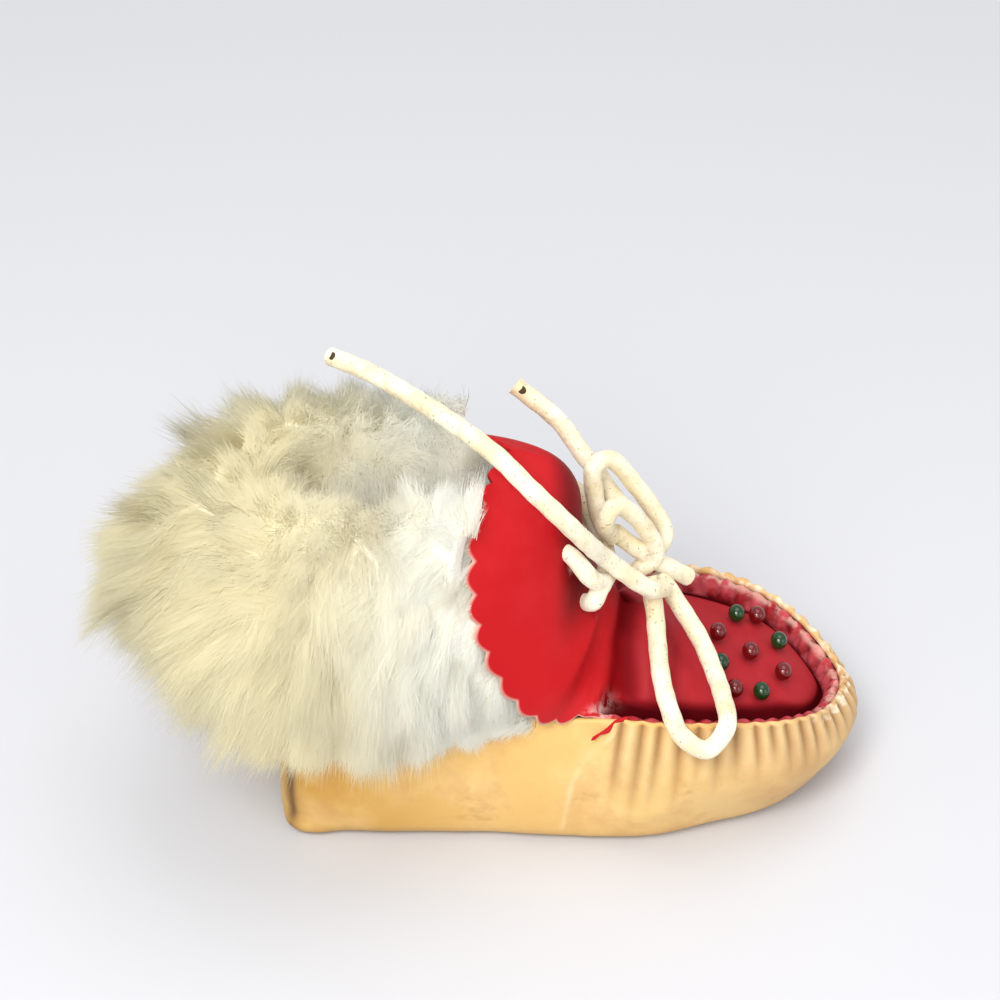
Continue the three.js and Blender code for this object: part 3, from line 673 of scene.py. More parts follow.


def pucker_rows(rng):
    """Valleys between gathers: place along the seam, depth, reach down the wall, half width, slant."""
    count = PUCKERS
    place = (np.arange(count) + 0.5 + rng.uniform(-PUCKER_JITTER, PUCKER_JITTER, count)) / count
    long_ones = 1 - smoothstep(np.minimum(place, 1 - place), 0.05, 0.22)
    depth = rng.uniform(*PUCKER_DEPTH, count) + LONG_DEEPER * long_ones
    reach = rng.uniform(*PUCKER_REACH, count) - LONG_LOWER * long_ones
    half_width = rng.uniform(*PUCKER_HALF_WIDTH, count)
    slant = rng.uniform(-PUCKER_JITTER, PUCKER_JITTER, count) - np.sign(0.5 - place) * LONG_SLANT * long_ones
    return place, depth, reach, half_width, slant


VALLEYS = pucker_rows(np.random.default_rng(SEED))


def valleys_at(share, lift):
    """For points of the plan at a lift up the wall: push inward, depth in a valley, on the seam or not."""
    phase = (share - SEAM_SHARE) / (1 - 2 * SEAM_SHARE)
    place, depth, reach, half_width, slant = VALLEYS
    place = place + slant * (1 - lift) / PUCKERS
    apart = np.abs(phase[:, None] - place[None, :]) * SEAM_LENGTH
    inside = smoothstep(phase, -SEAM_BLUR, SEAM_BLUR) * smoothstep(1 - phase, -SEAM_BLUR, SEAM_BLUR)
    valley = np.exp(-((apart / half_width) ** 1.4)) * smoothstep(lift, reach, 0.98)
    push = ((depth * valley) ** 3).sum(axis=1) ** (1 / 3)
    push = PUCKER_LIMIT * np.tanh(push / PUCKER_LIMIT)
    valley = np.minimum(1, (valley**3).sum(axis=1) ** (1 / 3))
    return push * inside, valley * inside, inside


def ridge_along(points, path, half_width):
    """How near points lie to a given line, from 0 to 1, in a soft section of that half width."""
    path = np.asarray(path, float)
    best = np.full(len(points), 1e9)
    for a, b in zip(path, path[1:]):
        t = np.clip(((points - a) @ (b - a)) / ((b - a) @ (b - a)), 0, 1)
        best = np.minimum(best, np.linalg.norm(points - a - t[:, None] * (b - a), axis=1))
    return np.exp(-((best / half_width) ** 2))


def wall_rows(shares, lifts, inward):
    """Points of the wall (rows, columns, 3), their depth in valleys, outward directions (columns, 2)."""
    base, normal = plan_point(shares)
    rim = rim_z(base[:, 0])
    toe = TOE_TUCK * smoothstep(base[:, 0], *TUCK_RUN)
    heel = HEEL_SQUARE * (1 - smoothstep(base[:, 0], *SQUARE_RUN))
    made = []
    deep = []
    for lift in lifts:
        push, valley, inside = valleys_at(shares, lift)
        if inward:
            push, inside = 0 * push, 0 * inside
        ridge = RIDGE_HEIGHT * (1 - valley) * inside * smoothstep(lift, 0.5, 0.98)
        out = table(WALL, 1, lift) - toe * (1 - smoothstep(lift, 0, 0.7)) - inward
        out = out + heel * (1 - smoothstep(lift, 0, 0.2))
        p, _ = plan_point(shares, out - push + ridge)
        floor = spring(p[:, 0]) + (LEATHER if inward else 0)
        made.append(np.column_stack([p, lerp(floor, rim, lift)]))
        deep.append(valley)
    return np.array(made), np.array(deep), normal


def seam_shares():
    """Shares of the plan, closer together where the wall is gathered."""
    side = np.linspace(0, SEAM_SHARE, SIDE_COLUMNS, endpoint=False)
    toe = np.linspace(SEAM_SHARE, 1 - SEAM_SHARE, PUCKERS * COLUMNS_A_PUCKER, endpoint=False)
    return np.unique(np.r_[side, toe, (1 - side) % 1])


def rolled_rim(outside, inside):
    """Rows that round the wall's edge over from its outside to its inside."""
    rows = []
    for turn in np.linspace(0, math.pi, ROLL_STEPS)[1:-1]:
        row = (outside + inside) / 2 + (outside - inside) / 2 * math.cos(turn)
        row[:, 2] += ROLL_HEIGHT * math.sin(turn)
        rows.append(row)
    return rows


def sole_rings(edge, scales, lift):
    """Rows of the flat of the sole, as its edge drawn in by scales."""
    rows = [edge * (scale, scale, 1) for scale in scales]
    for row in rows:
        row[:, 2] = spring(row[:, 0]) + lift
    return rows


def tan_bottom():
    shares = seam_shares()
    wide = len(shares)
    outside, deep, normal = wall_rows(shares, WALL_LIFTS, 0)
    inside, _, _ = wall_rows(shares, np.linspace(1, 0, INSIDE_ROWS), LEATHER)
    roll = rolled_rim(outside[-1], inside[0])
    below = sole_rings(outside[0], np.linspace(0, 1, SOLE_RINGS)[:-1], 0)
    above = sole_rings(inside[-1], np.linspace(1, 0, SOLE_RINGS)[1:], LEATHER)
    rows = [*below, *outside, *roll, *inside, *above]
    points = np.vstack(rows)
    outer = slice(len(below) * wide, (len(below) + len(outside)) * wide)
    valley, tip, light, dark = np.zeros((4, len(points)))
    # the valleys' depth, which the tan leather darkens as painted shade
    valley[outer] = deep.ravel()
    place, _ = plan_point(shares)
    _, _, gathered = valleys_at(shares, 1.0)
    x, y = place.T
    rubbed = np.maximum(smoothstep(y, *RUBBED_SIDE), smoothstep(x, *RUBBED_TOE)) * gathered
    top = outer.stop - TIP_ROWS * wide
    on_tip = np.tile(rubbed, TIP_ROWS + len(roll) + 1)
    tip[top : top + len(on_tip)] = on_tip * (1 - np.resize(valley[top : top + wide], len(on_tip)) * 0.6)
    on_rim = smoothstep(np.repeat(WALL_LIFTS, wide), 0.55, 0.95) * np.tile(gathered, len(WALL_LIFTS))
    # paler ridge tops by the rim and along the light crease: partly wear, partly painted highlight
    light[outer] = 0.8 * on_rim * (1 - valley[outer])
    direction = np.tile(np.column_stack([normal, np.zeros(wide)]), (len(outside), 1))
    body = points[outer]
    for path, half_width, height in WALL_FOLDS:
        near = ridge_along(body, path, half_width)
        body += direction * (near * height)[:, None]
        if path is LIGHT_CREASE:
            light[outer] = np.maximum(light[outer], near)
    half_width, depth = HEEL_CREASE
    for path in HEEL_CORNERS:
        body -= direction * (ridge_along(body, path, half_width) * depth)[:, None]
        # painted shade along the heel's corner creases
        dark[outer] = np.maximum(dark[outer], ridge_along(body, path, HEEL_SHADE))
    triangles = grid_faces(len(rows), wide, True)
    points, triangles, extra = welded(points, triangles, dict(valley=valley, tip=tip, light=light, dark=dark))
    return dress(mesh_object("tan_bottom", points, triangles, TAN, extra), "tan_leather", "moccasin_bottom")


# The red vamp

CHANNEL_DEPTH = 1.1
FACE_RINGS = np.r_[np.linspace(0, 0.9, 26), np.linspace(0.92, 1, 6)]
LIP_RINGS = np.linspace(0.15, 1, 8)
LIP_PAD = (0.75, -0.35)  # how far the lip bulges on a gather and in a valley
LIP_WAVE = (0.1, -0.7)  # how far its top rises there
RUBBED_LIP = (48, 54)
LIP_ROLL = [(0.8, 0.15), (1.7, -0.5)]  # the lip turns over on to the tan edge: outward, up
GROOVE_SHADE = (4.8, 2.8, 2.6)  # width of the painted shade by the groove on the plug: near side, far side, toe
CREASE_SHADE = 2.7  # half width of the painted shade in the throat's crease
SEAM_FACE = 0.93  # share of a rib on the plug's face, where seam and wing meet
SEAM_FADE = 0.045  # share of the wing's edge in which the seam dies out
SEAM_REACH = 0.16  # share of it in which the wing's face comes up out of the throat
WING_SAG = (0, 0.9, 2.3)  # the wing's lower edge rests on the tan rim
TOE_COLUMNS = 210
WING_COLUMNS = 240
EDGE_FINE = 120

# Soft folds of the vamp: points of the near half, half width, height. The first is the throat's crease.
THROAT_CREASE = [
    (14.6, 0, 44.6),
    (13.7, -4, 43),
    (12.7, -8.6, 40.5),
    (12.2, -12, 37),
    (11.6, -15.4, 33.5),
    (10.1, -21, 31),
]
VAMP_FOLDS = [
    (THROAT_CREASE, 2.6, -1.7),
    ([(19.5, 0, 41), (18, -7, 39), (17, -13, 35), (15.8, -18.5, 31)], 2.2, 0.9),
    ([(24.5, -6, 34.5), (22.5, -12, 32.5), (20, -17.5, 29.5)], 1.5, -0.7),
    ([(-1, -18, 58), (-4, -21, 46), (-4, -22, 38)], 5, 0.5),
]
# Painted shade on the line between the slits, where the cords pass under the leather.
SLIT_SHADE = [(1.2, -11.6, 67), (4.4, -12.2, 58), (6.4, -11.2, 50.5)]
# Rubbed leather at the end of the seam.
SCUFF = [(8.8, -18.6, 32.6), (7.4, -20.2, 32.3), (5, -22, 32)]
SCUFF_WIDTH = 1.7

CREST_CURVE = catmull([(x, 0, z) for x, z in CREST], fine=EDGE_FINE)
EDGE_ROWS = np.array(WING_EDGE)
EDGE_CURVE = catmull(EDGE_ROWS[:, :3], fine=EDGE_FINE)
EDGE_LENGTH = lengths_along(EDGE_CURVE)[-1]
SCALLOPS = round(EDGE_LENGTH / SCALLOP_PITCH)
crest_run = lengths_along(CREST_CURVE) / lengths_along(CREST_CURVE)[-1]


def toe_ribs(shares):
    """Ribs of the toe's plug: points on the crest, in the seam's groove and on its lip."""
    groove, _ = plan_point(shares, GROOVE_OUT)
    lip, _ = plan_point(shares, LIP_OUT)
    base, _ = plan_point(shares)
    rim = rim_z(base[:, 0])
    forward = (groove[:, 0] - SEAM_END_X) / (PLUG_POLE_X - SEAM_END_X)
    x = np.minimum(lerp(THROAT_X, PLUG_POLE_X, forward), PLUG_POLE_X)
    share = np.interp(-x, -CREST_CURVE[:, 0], crest_run)
    crest = at_share(CREST_CURVE, share)
    groove = np.column_stack([groove, rim - GROOVE_DROP])
    lip = np.column_stack([lip, rim + LIP_RISE])
    return crest, groove, lip


def rib_points(crest, edge, wing, r):
    """Points at a share r from the crest to the edge; wing goes from 0 on the toe to 1 on the wings."""
    across = lerp(r, np.sin(r * math.pi / 2), wing)
    drop = lerp(r**2, 1 - np.cos(r * math.pi / 2), wing)
    along = lerp(across, drop, wing)
    share = np.column_stack([along, across, drop])
    return crest + (edge - crest) * share


def toe_columns(count):
    """Near half of the toe's plug: points (rings, columns, 3) from the crest to the top of the lip."""
    shares = np.linspace(0.5, SEAM_SHARE, count)
    crest, groove, lip = toe_ribs(shares)
    _, valley, _ = valleys_at(shares, 1.0)
    groove = groove - (0, 0, CHANNEL_DEPTH)
    lip = lip + np.column_stack([unit((lip - groove)[:, :2]) * GAP, np.zeros(count)])
    rings = []
    for r in FACE_RINGS:
        row = rib_points(crest, groove, np.zeros(count), np.full(count, r))
        row[:, 2] += CHANNEL_DEPTH * r**2 * (1 - smoothstep(r, 0.8, 0.98))
        rings.append(row)
    inward = unit(np.column_stack([(groove - lip)[:, :2], np.zeros(count)]))
    for step in LIP_RINGS:
        row = lerp(groove, lip, step)
        round_out = math.sin(math.pi * min(1, step))
        pad = (LIP_PAD[0] * (1 - valley) + LIP_PAD[1] * valley) * round_out
        row = row + inward * pad[:, None]
        row[:, 2] += (LIP_WAVE[0] * (1 - valley) + LIP_WAVE[1] * valley) * step
        rings.append(row)
    top = rings[-1]
    for out, rise in LIP_ROLL:
        rings.append(top - inward * out + (0, 0, rise))
    return np.array(rings), valley


def wing_columns(count, seam_end):
    """Near wing, out of the seam's last rib: points (rings, columns, 3) from the crest to the edge."""
    share = np.linspace(0, 1, count + 1)[1:]
    place = share * (len(EDGE_ROWS) - 1)
    whole = np.arange(len(EDGE_CURVE)) / EDGE_FINE
    edge = np.stack([np.interp(place, whole, EDGE_CURVE[:, k]) for k in range(3)], -1)
    keys = [(k / (len(EDGE_ROWS) - 1), row[3]) for k, row in enumerate(WING_EDGE)]
    crest = at_share(CREST_CURVE, np.minimum(1, table(keys, 1, share)))
    dip = np.abs(np.sin(math.pi * SCALLOPS * share))
    cut = SCALLOP_DEPTH * (1 - dip) * smoothstep(share, 0.02, 0.1)
    reach = np.linalg.norm(edge - crest, axis=1)
    end = 1 - cut / reach
    wing = smoothstep(share, 0, 0.2)
    past_face = np.linspace(SEAM_FACE, 1, len(LIP_RINGS) + len(LIP_ROLL) + 1)[1:]
    like_toe = np.r_[FACE_RINGS * SEAM_FACE, past_face]
    even = np.linspace(0, 1, len(like_toe))
    r = lerp(like_toe[:, None], even[:, None], smoothstep(share, 0.02, 0.3)[None]) * end[None]
    rings = np.array([rib_points(crest, edge, wing, row) for row in r])
    sag = r**2 * (smoothstep(share, 0, 0.16) * (1 - smoothstep(share, 0.2, 0.42)))[None]
    rings = rings - sag[:, :, None] * np.array(WING_SAG)
    first = at_share(CREST_CURVE, np.full(len(like_toe), WING_EDGE[0][3]))
    step = seam_end - rib_points(first, np.array(WING_EDGE[0][:3]), np.zeros(len(like_toe)), like_toe)
    flat = like_toe < SEAM_FACE * 0.9
    fits = [np.polyfit(like_toe[flat], step[flat, k], 3) for k in range(3)]
    soft = np.stack([np.polyval(fit, like_toe) for fit in fits], -1)
    soft = soft * (1 - smoothstep(like_toe, 0.55, 1))[:, None]
    slow, quick = (1 - smoothstep(share, 0, reach) for reach in (SEAM_REACH, SEAM_FADE))
    return rings + soft[:, None] * slow[None, :, None] + (step - soft)[:, None] * quick[None, :, None]


def slit_share(points):
    """How deep points lie in a slit: over 1 outside, 0 on its middle line."""
    best = np.full(len(points), 9.0)
    for x, y, z, lean in SLITS:
        for side in (-1, 1):
            long = unit(np.array([lean, 0, 1.0]))
            offset = points - (x, -y * side, z)
            run = offset @ long
            rest = np.linalg.norm(offset - run[:, None] * long, axis=1)
            best = np.minimum(best, np.maximum(np.abs(run) / (SLIT_LENGTH / 2), rest / (SLIT_WIDTH / 2)))
    return best


def both_sides(near):
    """Values of the near half's columns, followed by those of the far half."""
    return np.r_[near, near[-2:0:-1]]


def ridge_either_side(points, mirrored, path, half_width):
    return np.maximum(ridge_along(points, path, half_width), ridge_along(mirrored, path, half_width))


def vamp_marks(sheet, toe_valley):
    """How far each point of the sheet is lip, groove, rubbed tip, raw edge and so on, for its colour."""
    rings, columns, _ = sheet.shape
    x, y, z = np.moveaxis(sheet, -1, 0)
    share = both_sides(np.r_[np.zeros(TOE_COLUMNS), np.arange(1, WING_COLUMNS + 1) / WING_COLUMNS])
    is_toe = 1 - smoothstep(share, 0, SEAM_FADE)
    valley = both_sides(np.r_[toe_valley, np.zeros(WING_COLUMNS)])
    ring = np.repeat(np.arange(rings)[:, None], columns, axis=1)
    lip = (ring >= len(FACE_RINGS)) * is_toe
    channel = len(FACE_RINGS) - 1
    apart = np.linalg.norm(sheet - sheet[channel], axis=-1)
    # painted shade on the plug along the seam's groove, wider on the near side
    near_side, far_side, at_toe = GROOVE_SHADE
    reach = lerp(lerp(near_side, far_side, smoothstep(y, -8, 4)), at_toe, smoothstep(x, 42, 52))
    on_face = 1 - smoothstep(apart / reach, 0.7, 1.35)
    groove = np.where(ring > channel, np.exp(-(apart**2)), on_face) * is_toe
    # and painted shade between the lip's pads
    groove = np.maximum(groove, lip * valley * 0.8)
    rubbed = np.maximum(smoothstep(y, *RUBBED_SIDE), smoothstep(x, *RUBBED_LIP))
    tip = smoothstep(ring, rings - 5.5, rings - 3) * is_toe * rubbed
    raw = (ring == rings - 1) * (1 - is_toe) * (1 - smoothstep(share, 0.72, 0.85))
    throat = np.array(THROAT_CREASE)
    plug = smoothstep(x - np.interp(np.abs(y), -throat[:, 1], throat[:, 0]), -0.8, 1.6)
    # painted shade on the top of the vamp by the lace, where it turns away from the light
    deep = smoothstep(z, 47, 56) * smoothstep(x, -3, 2)
    scuff = ridge_along(sheet.reshape(-1, 3), SCUFF, SCUFF_WIDTH)
    marks = dict(lip=lip, groove=groove, tip=tip, raw=raw, plug=plug, deep=deep, scuff=scuff)
    return {key: value.ravel() for key, value in marks.items()}


def red_vamp():
    """The vamp; gives back its outer face, which the fur keeps behind."""
    toe, toe_valley = toe_columns(TOE_COLUMNS)
    wing = wing_columns(WING_COLUMNS, toe[:, -1])
    near = np.concatenate([toe, wing], axis=1)
    far = near[:, -2:0:-1] * (1, -1, 1)
    sheet = np.concatenate([near, far], axis=1)
    rings, columns, _ = sheet.shape
    triangles = grid_faces(rings, columns, True)
    points, triangles, extra = welded(sheet.reshape(-1, 3), triangles, vamp_marks(sheet, toe_valley))
    normals = vertex_normals(points, triangles)
    mirrored = points * (1, -1, 1)
    for path, half_width, height in VAMP_FOLDS:
        fold = ridge_either_side(points, mirrored, path, half_width) * (1 - extra["lip"])
        points = points + normals * (fold * height)[:, None]
        if path is THROAT_CREASE:
            # painted shade in the throat's crease
            dark = ridge_either_side(points, mirrored, path, CREASE_SHADE)
            extra["groove"] = np.maximum(extra["groove"], dark * (1 - extra["lip"]))
    # painted shade between the slits
    slit_line_shade = ridge_either_side(points, mirrored, SLIT_SHADE, 1.0)
    extra["groove"] = np.maximum(extra["groove"], 0.85 * slit_line_shade)
    triangles = triangles[slit_share(points[triangles].mean(axis=1)) > 1]
    extra["raw"] = np.maximum(extra["raw"], 1 - smoothstep(slit_share(points), 1, 1.9))
    thick_sheet("red_vamp", points, triangles, VAMP_LEATHER, RED, extra)
    return BVHTree.FromPolygons(points.tolist(), triangles.tolist())


def thick_sheet(name, points, triangles, thickness, material, extra):
    """A sheet with its back a thickness under its face, closed along every free edge."""
    normals = vertex_normals(points, triangles)
    count = len(points)
    edges = np.vstack([triangles[:, [0, 1]], triangles[:, [1, 2]], triangles[:, [2, 0]]])
    codes = edges[:, 0] * count + edges[:, 1]
    free = edges[~np.isin(edges[:, 1] * count + edges[:, 0], codes)]
    a, b = free.T
    walls = np.vstack([np.stack([b, a, a + count], -1), np.stack([b, a + count, b + count], -1)])
    faces = np.vstack([triangles, triangles[:, ::-1] + count, walls])
    doubled = {key: np.r_[value, value] for key, value in extra.items()}
    made = mesh_object(name, np.vstack([points, points - normals * thickness]), faces, material, doubled)
    return dress(made, "red_leather", "vamp")


# The fur

STRAND_SHARES = np.array([0, 0.5, 1.0])
STRAND_WIDTH = 0.15
STRANDS_A_PIECE = 60000
GOLDEN = 0.6180339887
HEEL_DENSITY = 0.15  # how much thicker the pile grows at the heel
FUR_FRONT = 0.03  # place round the pelt where its pile starts
PELT_FRONT = 0.08  # and its undercoat
UNDERCOAT_THICK = 3
ROOT_DEPTH = 1.2
BRIM_PILE = 8.0  # length of the pile on the brim
WING_TUCK = 2.0  # how far the pelt passes under the wings
WING_LEAN = 5.0  # and how much more by their tops
PELT_INNER_SHARE = 0.48  # share of a section of the pelt that lies on its inside
EDGE_OVERHANG = 0.3  # hair may pass a wing's edge by this
HEEL_LIMIT_X = -92.5
HEEL_SOFTNESS = 4  # the pile comes to rest within this past the limit
PELT_TOP = 82  # the pelt lines the wings up to this
PELT_COLUMNS = 260
PELT_ROWS = 56
LUMPS = 300
LUMP_RADIUS = 4.5
LUMP_HEIGHT = 2.6
# Inside of the pelt: level up it, distance in or out.
PELT_INSIDE = [(0, 0), (0.5, -0.4), (0.9, 0), (1, 1)]
# How far the pile hangs below the tan rim, from the front of the cuff to the heel: share, drop.
HEM = [
    (0, -3),
    (0.07, -2),
    (0.15, -0.5),
    (0.24, 2),
    (0.45, 8),
    (0.56, 6),
    (0.66, 3.5),
    (0.76, 8),
    (0.85, 10),
    (1, 6),
]
HEM_JITTER = 1.6
# The pile up the pelt: level, share of the cuff's depth in the undercoat, pitch in degrees, length.
PILE = [
    (0, 0.15, -74, 11),
    (0.2, 0.56, -46, 13),
    (0.45, 0.75, -17, 14),
    (0.7, 0.75, 5, 13.5),
    (0.88, 0.53, 28, 12),
    (1, 0.22, 58, 9),
]
# Broad swells and hollows of the pile: place round the pelt, level up it, half sizes of both, height.
SWELLS = [
    (0.20, 0.42, 0.07, 0.30, 3.0),
    (0.12, 0.70, 0.04, 0.12, -2.0),
    (0.26, 1.00, 0.045, 0.16, -5.0),
    (0.30, 0.38, 0.03, 0.30, -2.5),
    (0.33, 0.10, 0.05, 0.14, 2.0),
    (0.40, 0.56, 0.07, 0.22, 2.5),
    (0.47, 0.20, 0.05, 0.20, -2.5),
    (0.55, 0.60, 0.06, 0.22, 2.5),
    (0.64, 0.40, 0.05, 0.25, -3.0),
    (0.73, 0.55, 0.07, 0.25, 3.0),
    (0.82, 0.35, 0.05, 0.25, -2.0),
]
PITCH_SPREAD = 16  # degrees
SWEEP_SPREAD = 0.4
INNER_PITCH = (28, 62)  # degrees, at the bottom and the top
INNER_PITCH_SPREAD = 12
INNER_SWEEP_SPREAD = 0.35
INNER_LENGTH = (6.5, 12.5)
BRIM_WIDTH = 4.5
BRIM_RISE = 1.5
BRIM_LEAN = (-48, -8, 40)  # degrees: on the inside, on the outside in front and at the heel
TUFT_LENGTHS = (0.84, 1.1)  # shares of the pile's length
STRAND_LENGTHS = (0.72, 1.06)
TUFT_BEND = 0.17
STRAND_BEND = 0.12
TIP_SCATTER = 0.9
DEEP_HOLLOW = 4  # a hollow of this depth is shaded in full
PELT_ROUND = 142  # length of the pelt round the ankle
PELT_TALL = 46  # its height
NEAREST_PARTS = 60


def cuff_frame(place, level, out):
    """Points of the pelt at a place round the ankle and a level up it, with the local sizes of the pile."""
    front = plan_share_at(CUFF_FRONT_X)
    share = np.where(place < 0.5, front * (1 - 2 * place), 1 - front * (2 * place - 1))
    at = 1 - np.abs(1 - 2 * place)
    low, top, depth, lean = (table(CUFF, column, at) for column in (1, 2, 3, 4))
    top = np.maximum(top, PELT_TOP)
    base, normal = plan_point(share)
    rim = rim_z(base[:, 0])
    p, _ = plan_point(share, out + lean * level)
    z = lerp(rim + 0.8, top - 5, level)
    size = dict(low=low, top=top, depth=depth, rim=rim, base=base, at=at)
    return np.column_stack([p, z]), np.column_stack([normal, np.zeros(len(place))]), size


def wing_back_x(z):
    """Station of the wing's free edge at a height."""
    rows = [(row[2], row[0]) for row in WING_EDGE[1:8]]
    return np.where(z > rows[-1][0], rows[-1][1] + (z - rows[-1][0]) * 0.3, table(rows, 1, z))


def swell(place, level):
    """Height of the swells and hollows at places round the pelt and levels up it."""
    total = np.zeros(len(place))
    for at, up, wide, tall, height in SWELLS:
        total += height * np.exp(-(((place - at) / wide) ** 2) - ((level - up) / tall) ** 2)
    return total


def swell_tilt(place, level, tangent):
    """How far the pile's face is turned by its swells and hollows."""
    step = 0.01
    round_slope = (swell(place + step, level) - swell(place - step, level)) / (2 * step * PELT_ROUND)
    up_slope = (swell(place, level + step) - swell(place, level - step)) / (2 * step * PELT_TALL)
    return tangent * round_slope[:, None] - np.array([0, 0, 1]) * up_slope[:, None]


def tucked_in(points, normal):
    """Moves what lies beside the wings inward, so that it passes under their leather."""
    under = smoothstep(points[:, 0] - wing_back_x(points[:, 2]), -3, 0.5)
    tuck = WING_TUCK + WING_LEAN * smoothstep(points[:, 2], 62, 78)
    return points - normal * (tuck * under)[:, None]


def undercoat_out(place, level):
    """How far out of the plan the undercoat reaches at places round the pelt and levels up it."""
    depth = np.maximum(0, table(CUFF, 3, 1 - np.abs(1 - 2 * place)))
    swelling = swell(place, level) * smoothstep(depth, 1, 6)
    return PELT_OUT + UNDERCOAT_THICK + table(PILE, 1, level) * depth + swelling


def round_the_pelt(normal):
    """Level directions along the pelt, a quarter turn from its outward ones."""
    return np.column_stack([-normal[:, 1], normal[:, 0], normal[:, 2]])


def pitched(flat, pitch):
    """Level directions turned up by angles."""
    direction = flat * np.cos(pitch)[:, None]
    direction[:, 2] = np.sin(pitch)
    return direction


def nearest_index(points, marks):
    """Index of the nearest mark to each point, worked out in parts that fit the memory."""
    return np.concatenate([
        np.argmin(((part[:, None] - marks[None]) ** 2).sum(-1), axis=1)
        for part in np.array_split(points, NEAREST_PARTS)
    ])


def pile_of(place, level, rng, spread):
    """Roots of the outer pile with the direction, length and bend of what grows there."""
    root, normal, size = cuff_frame(place, level, undercoat_out(place, level) - ROOT_DEPTH)
    root = tucked_in(root, normal)
    front = 1 - smoothstep(size["at"], 0.05, 0.5)
    pitch = table(PILE, 2, level) * (1 - 0.35 * front) + rng.normal(0, PITCH_SPREAD * spread, len(place))
    back = np.where(place < 0.5, -1, 1) * (0.2 + 0.8 * front)
    tangent = round_the_pelt(normal)
    sweep = back + rng.normal(0, SWEEP_SPREAD * spread, len(place))
    direction = pitched(unit(normal + tangent * sweep[:, None]), np.radians(pitch))
    length = table(PILE, 3, level) * (0.45 + 0.67 * smoothstep(size["at"], 0.0, 0.6))
    bend = np.zeros_like(root)
    bend[:, 2] = -0.25 - 0.25 * rng.random(len(place))
    # how deep in a hollow, for its painted shade
    size["hollow"] = np.clip(-swell(place, level) / DEEP_HOLLOW, 0, 1)
    return root, normal + swell_tilt(place, level, tangent), direction, length, bend, size


def inner_pile_of(place, level, rng, spread):
    """The shorter pile on the inside of the pelt."""
    root, normal, size = cuff_frame(place, level, PELT_OUT - 0.4)
    root = tucked_in(root, normal)
    pitch = np.radians(lerp(*INNER_PITCH, level) + rng.normal(0, INNER_PITCH_SPREAD * spread, len(place)))
    tangent = round_the_pelt(normal)
    sweep = rng.normal(0, INNER_SWEEP_SPREAD * spread, len(place))
    direction = pitched(unit(-normal + tangent * sweep[:, None]), pitch)
    length = lerp(*INNER_LENGTH, level)
    bend = np.zeros_like(root)
    bend[:, 2] = -0.3
    return root, -normal, direction, length, bend, size


def brim_pile_of(place, level, rng, spread):
    """The pile along the top of the pelt: level runs across it, from the inside to the outside."""
    root, normal, size = cuff_frame(place, np.ones(len(place)), PELT_OUT + BRIM_WIDTH * level)
    dip = swell(place, np.ones(len(place)))
    root[:, 2] += BRIM_RISE * np.sin(math.pi * level) - BRIM_RISE + 0.8 * dip
    # how deep in a hollow, for its painted shade
    size["hollow"] = np.clip(-dip / DEEP_HOLLOW, 0, 1)
    inside, in_front, at_heel = BRIM_LEAN
    outside = lerp(in_front, at_heel, smoothstep(size["at"], 0.2, 0.4))
    lean = np.radians(lerp(inside, outside, level) + rng.normal(0, PITCH_SPREAD * spread, len(place)))
    tangent = round_the_pelt(normal)
    sideways = rng.normal(0, SWEEP_SPREAD * spread, len(place))
    direction = normal * np.sin(lean)[:, None] + tangent * sideways[:, None]
    direction[:, 2] = np.cos(lean)
    bend = normal * (0.35 * np.sin(lean))[:, None]
    bend[:, 2] = -0.3
    facing = np.array([0, 0, 0.8]) + 0.4 * normal
    return root, facing, unit(direction), np.full(len(place), BRIM_PILE), bend, size


def strand_path(root, direction, length, bend):
    """Points along strands, as (strands, shares, 3)."""
    t = STRAND_SHARES[None, :, None]
    return root[:, None] + length[:, None, None] * (direction[:, None] * t + bend[:, None] * t**2)


def scattered(count, rng):
    """Even but irregular places and levels for things that grow on the pelt."""
    k = np.arange(count)
    even = (k + rng.random(count)) / count
    place = even + HEEL_DENSITY * np.sin(2 * math.pi * even) / (2 * math.pi)
    place = lerp(FUR_FRONT, 1 - FUR_FRONT, place)
    level = (k * GOLDEN + rng.normal(0, 0.02, count)) % 1
    return place, level


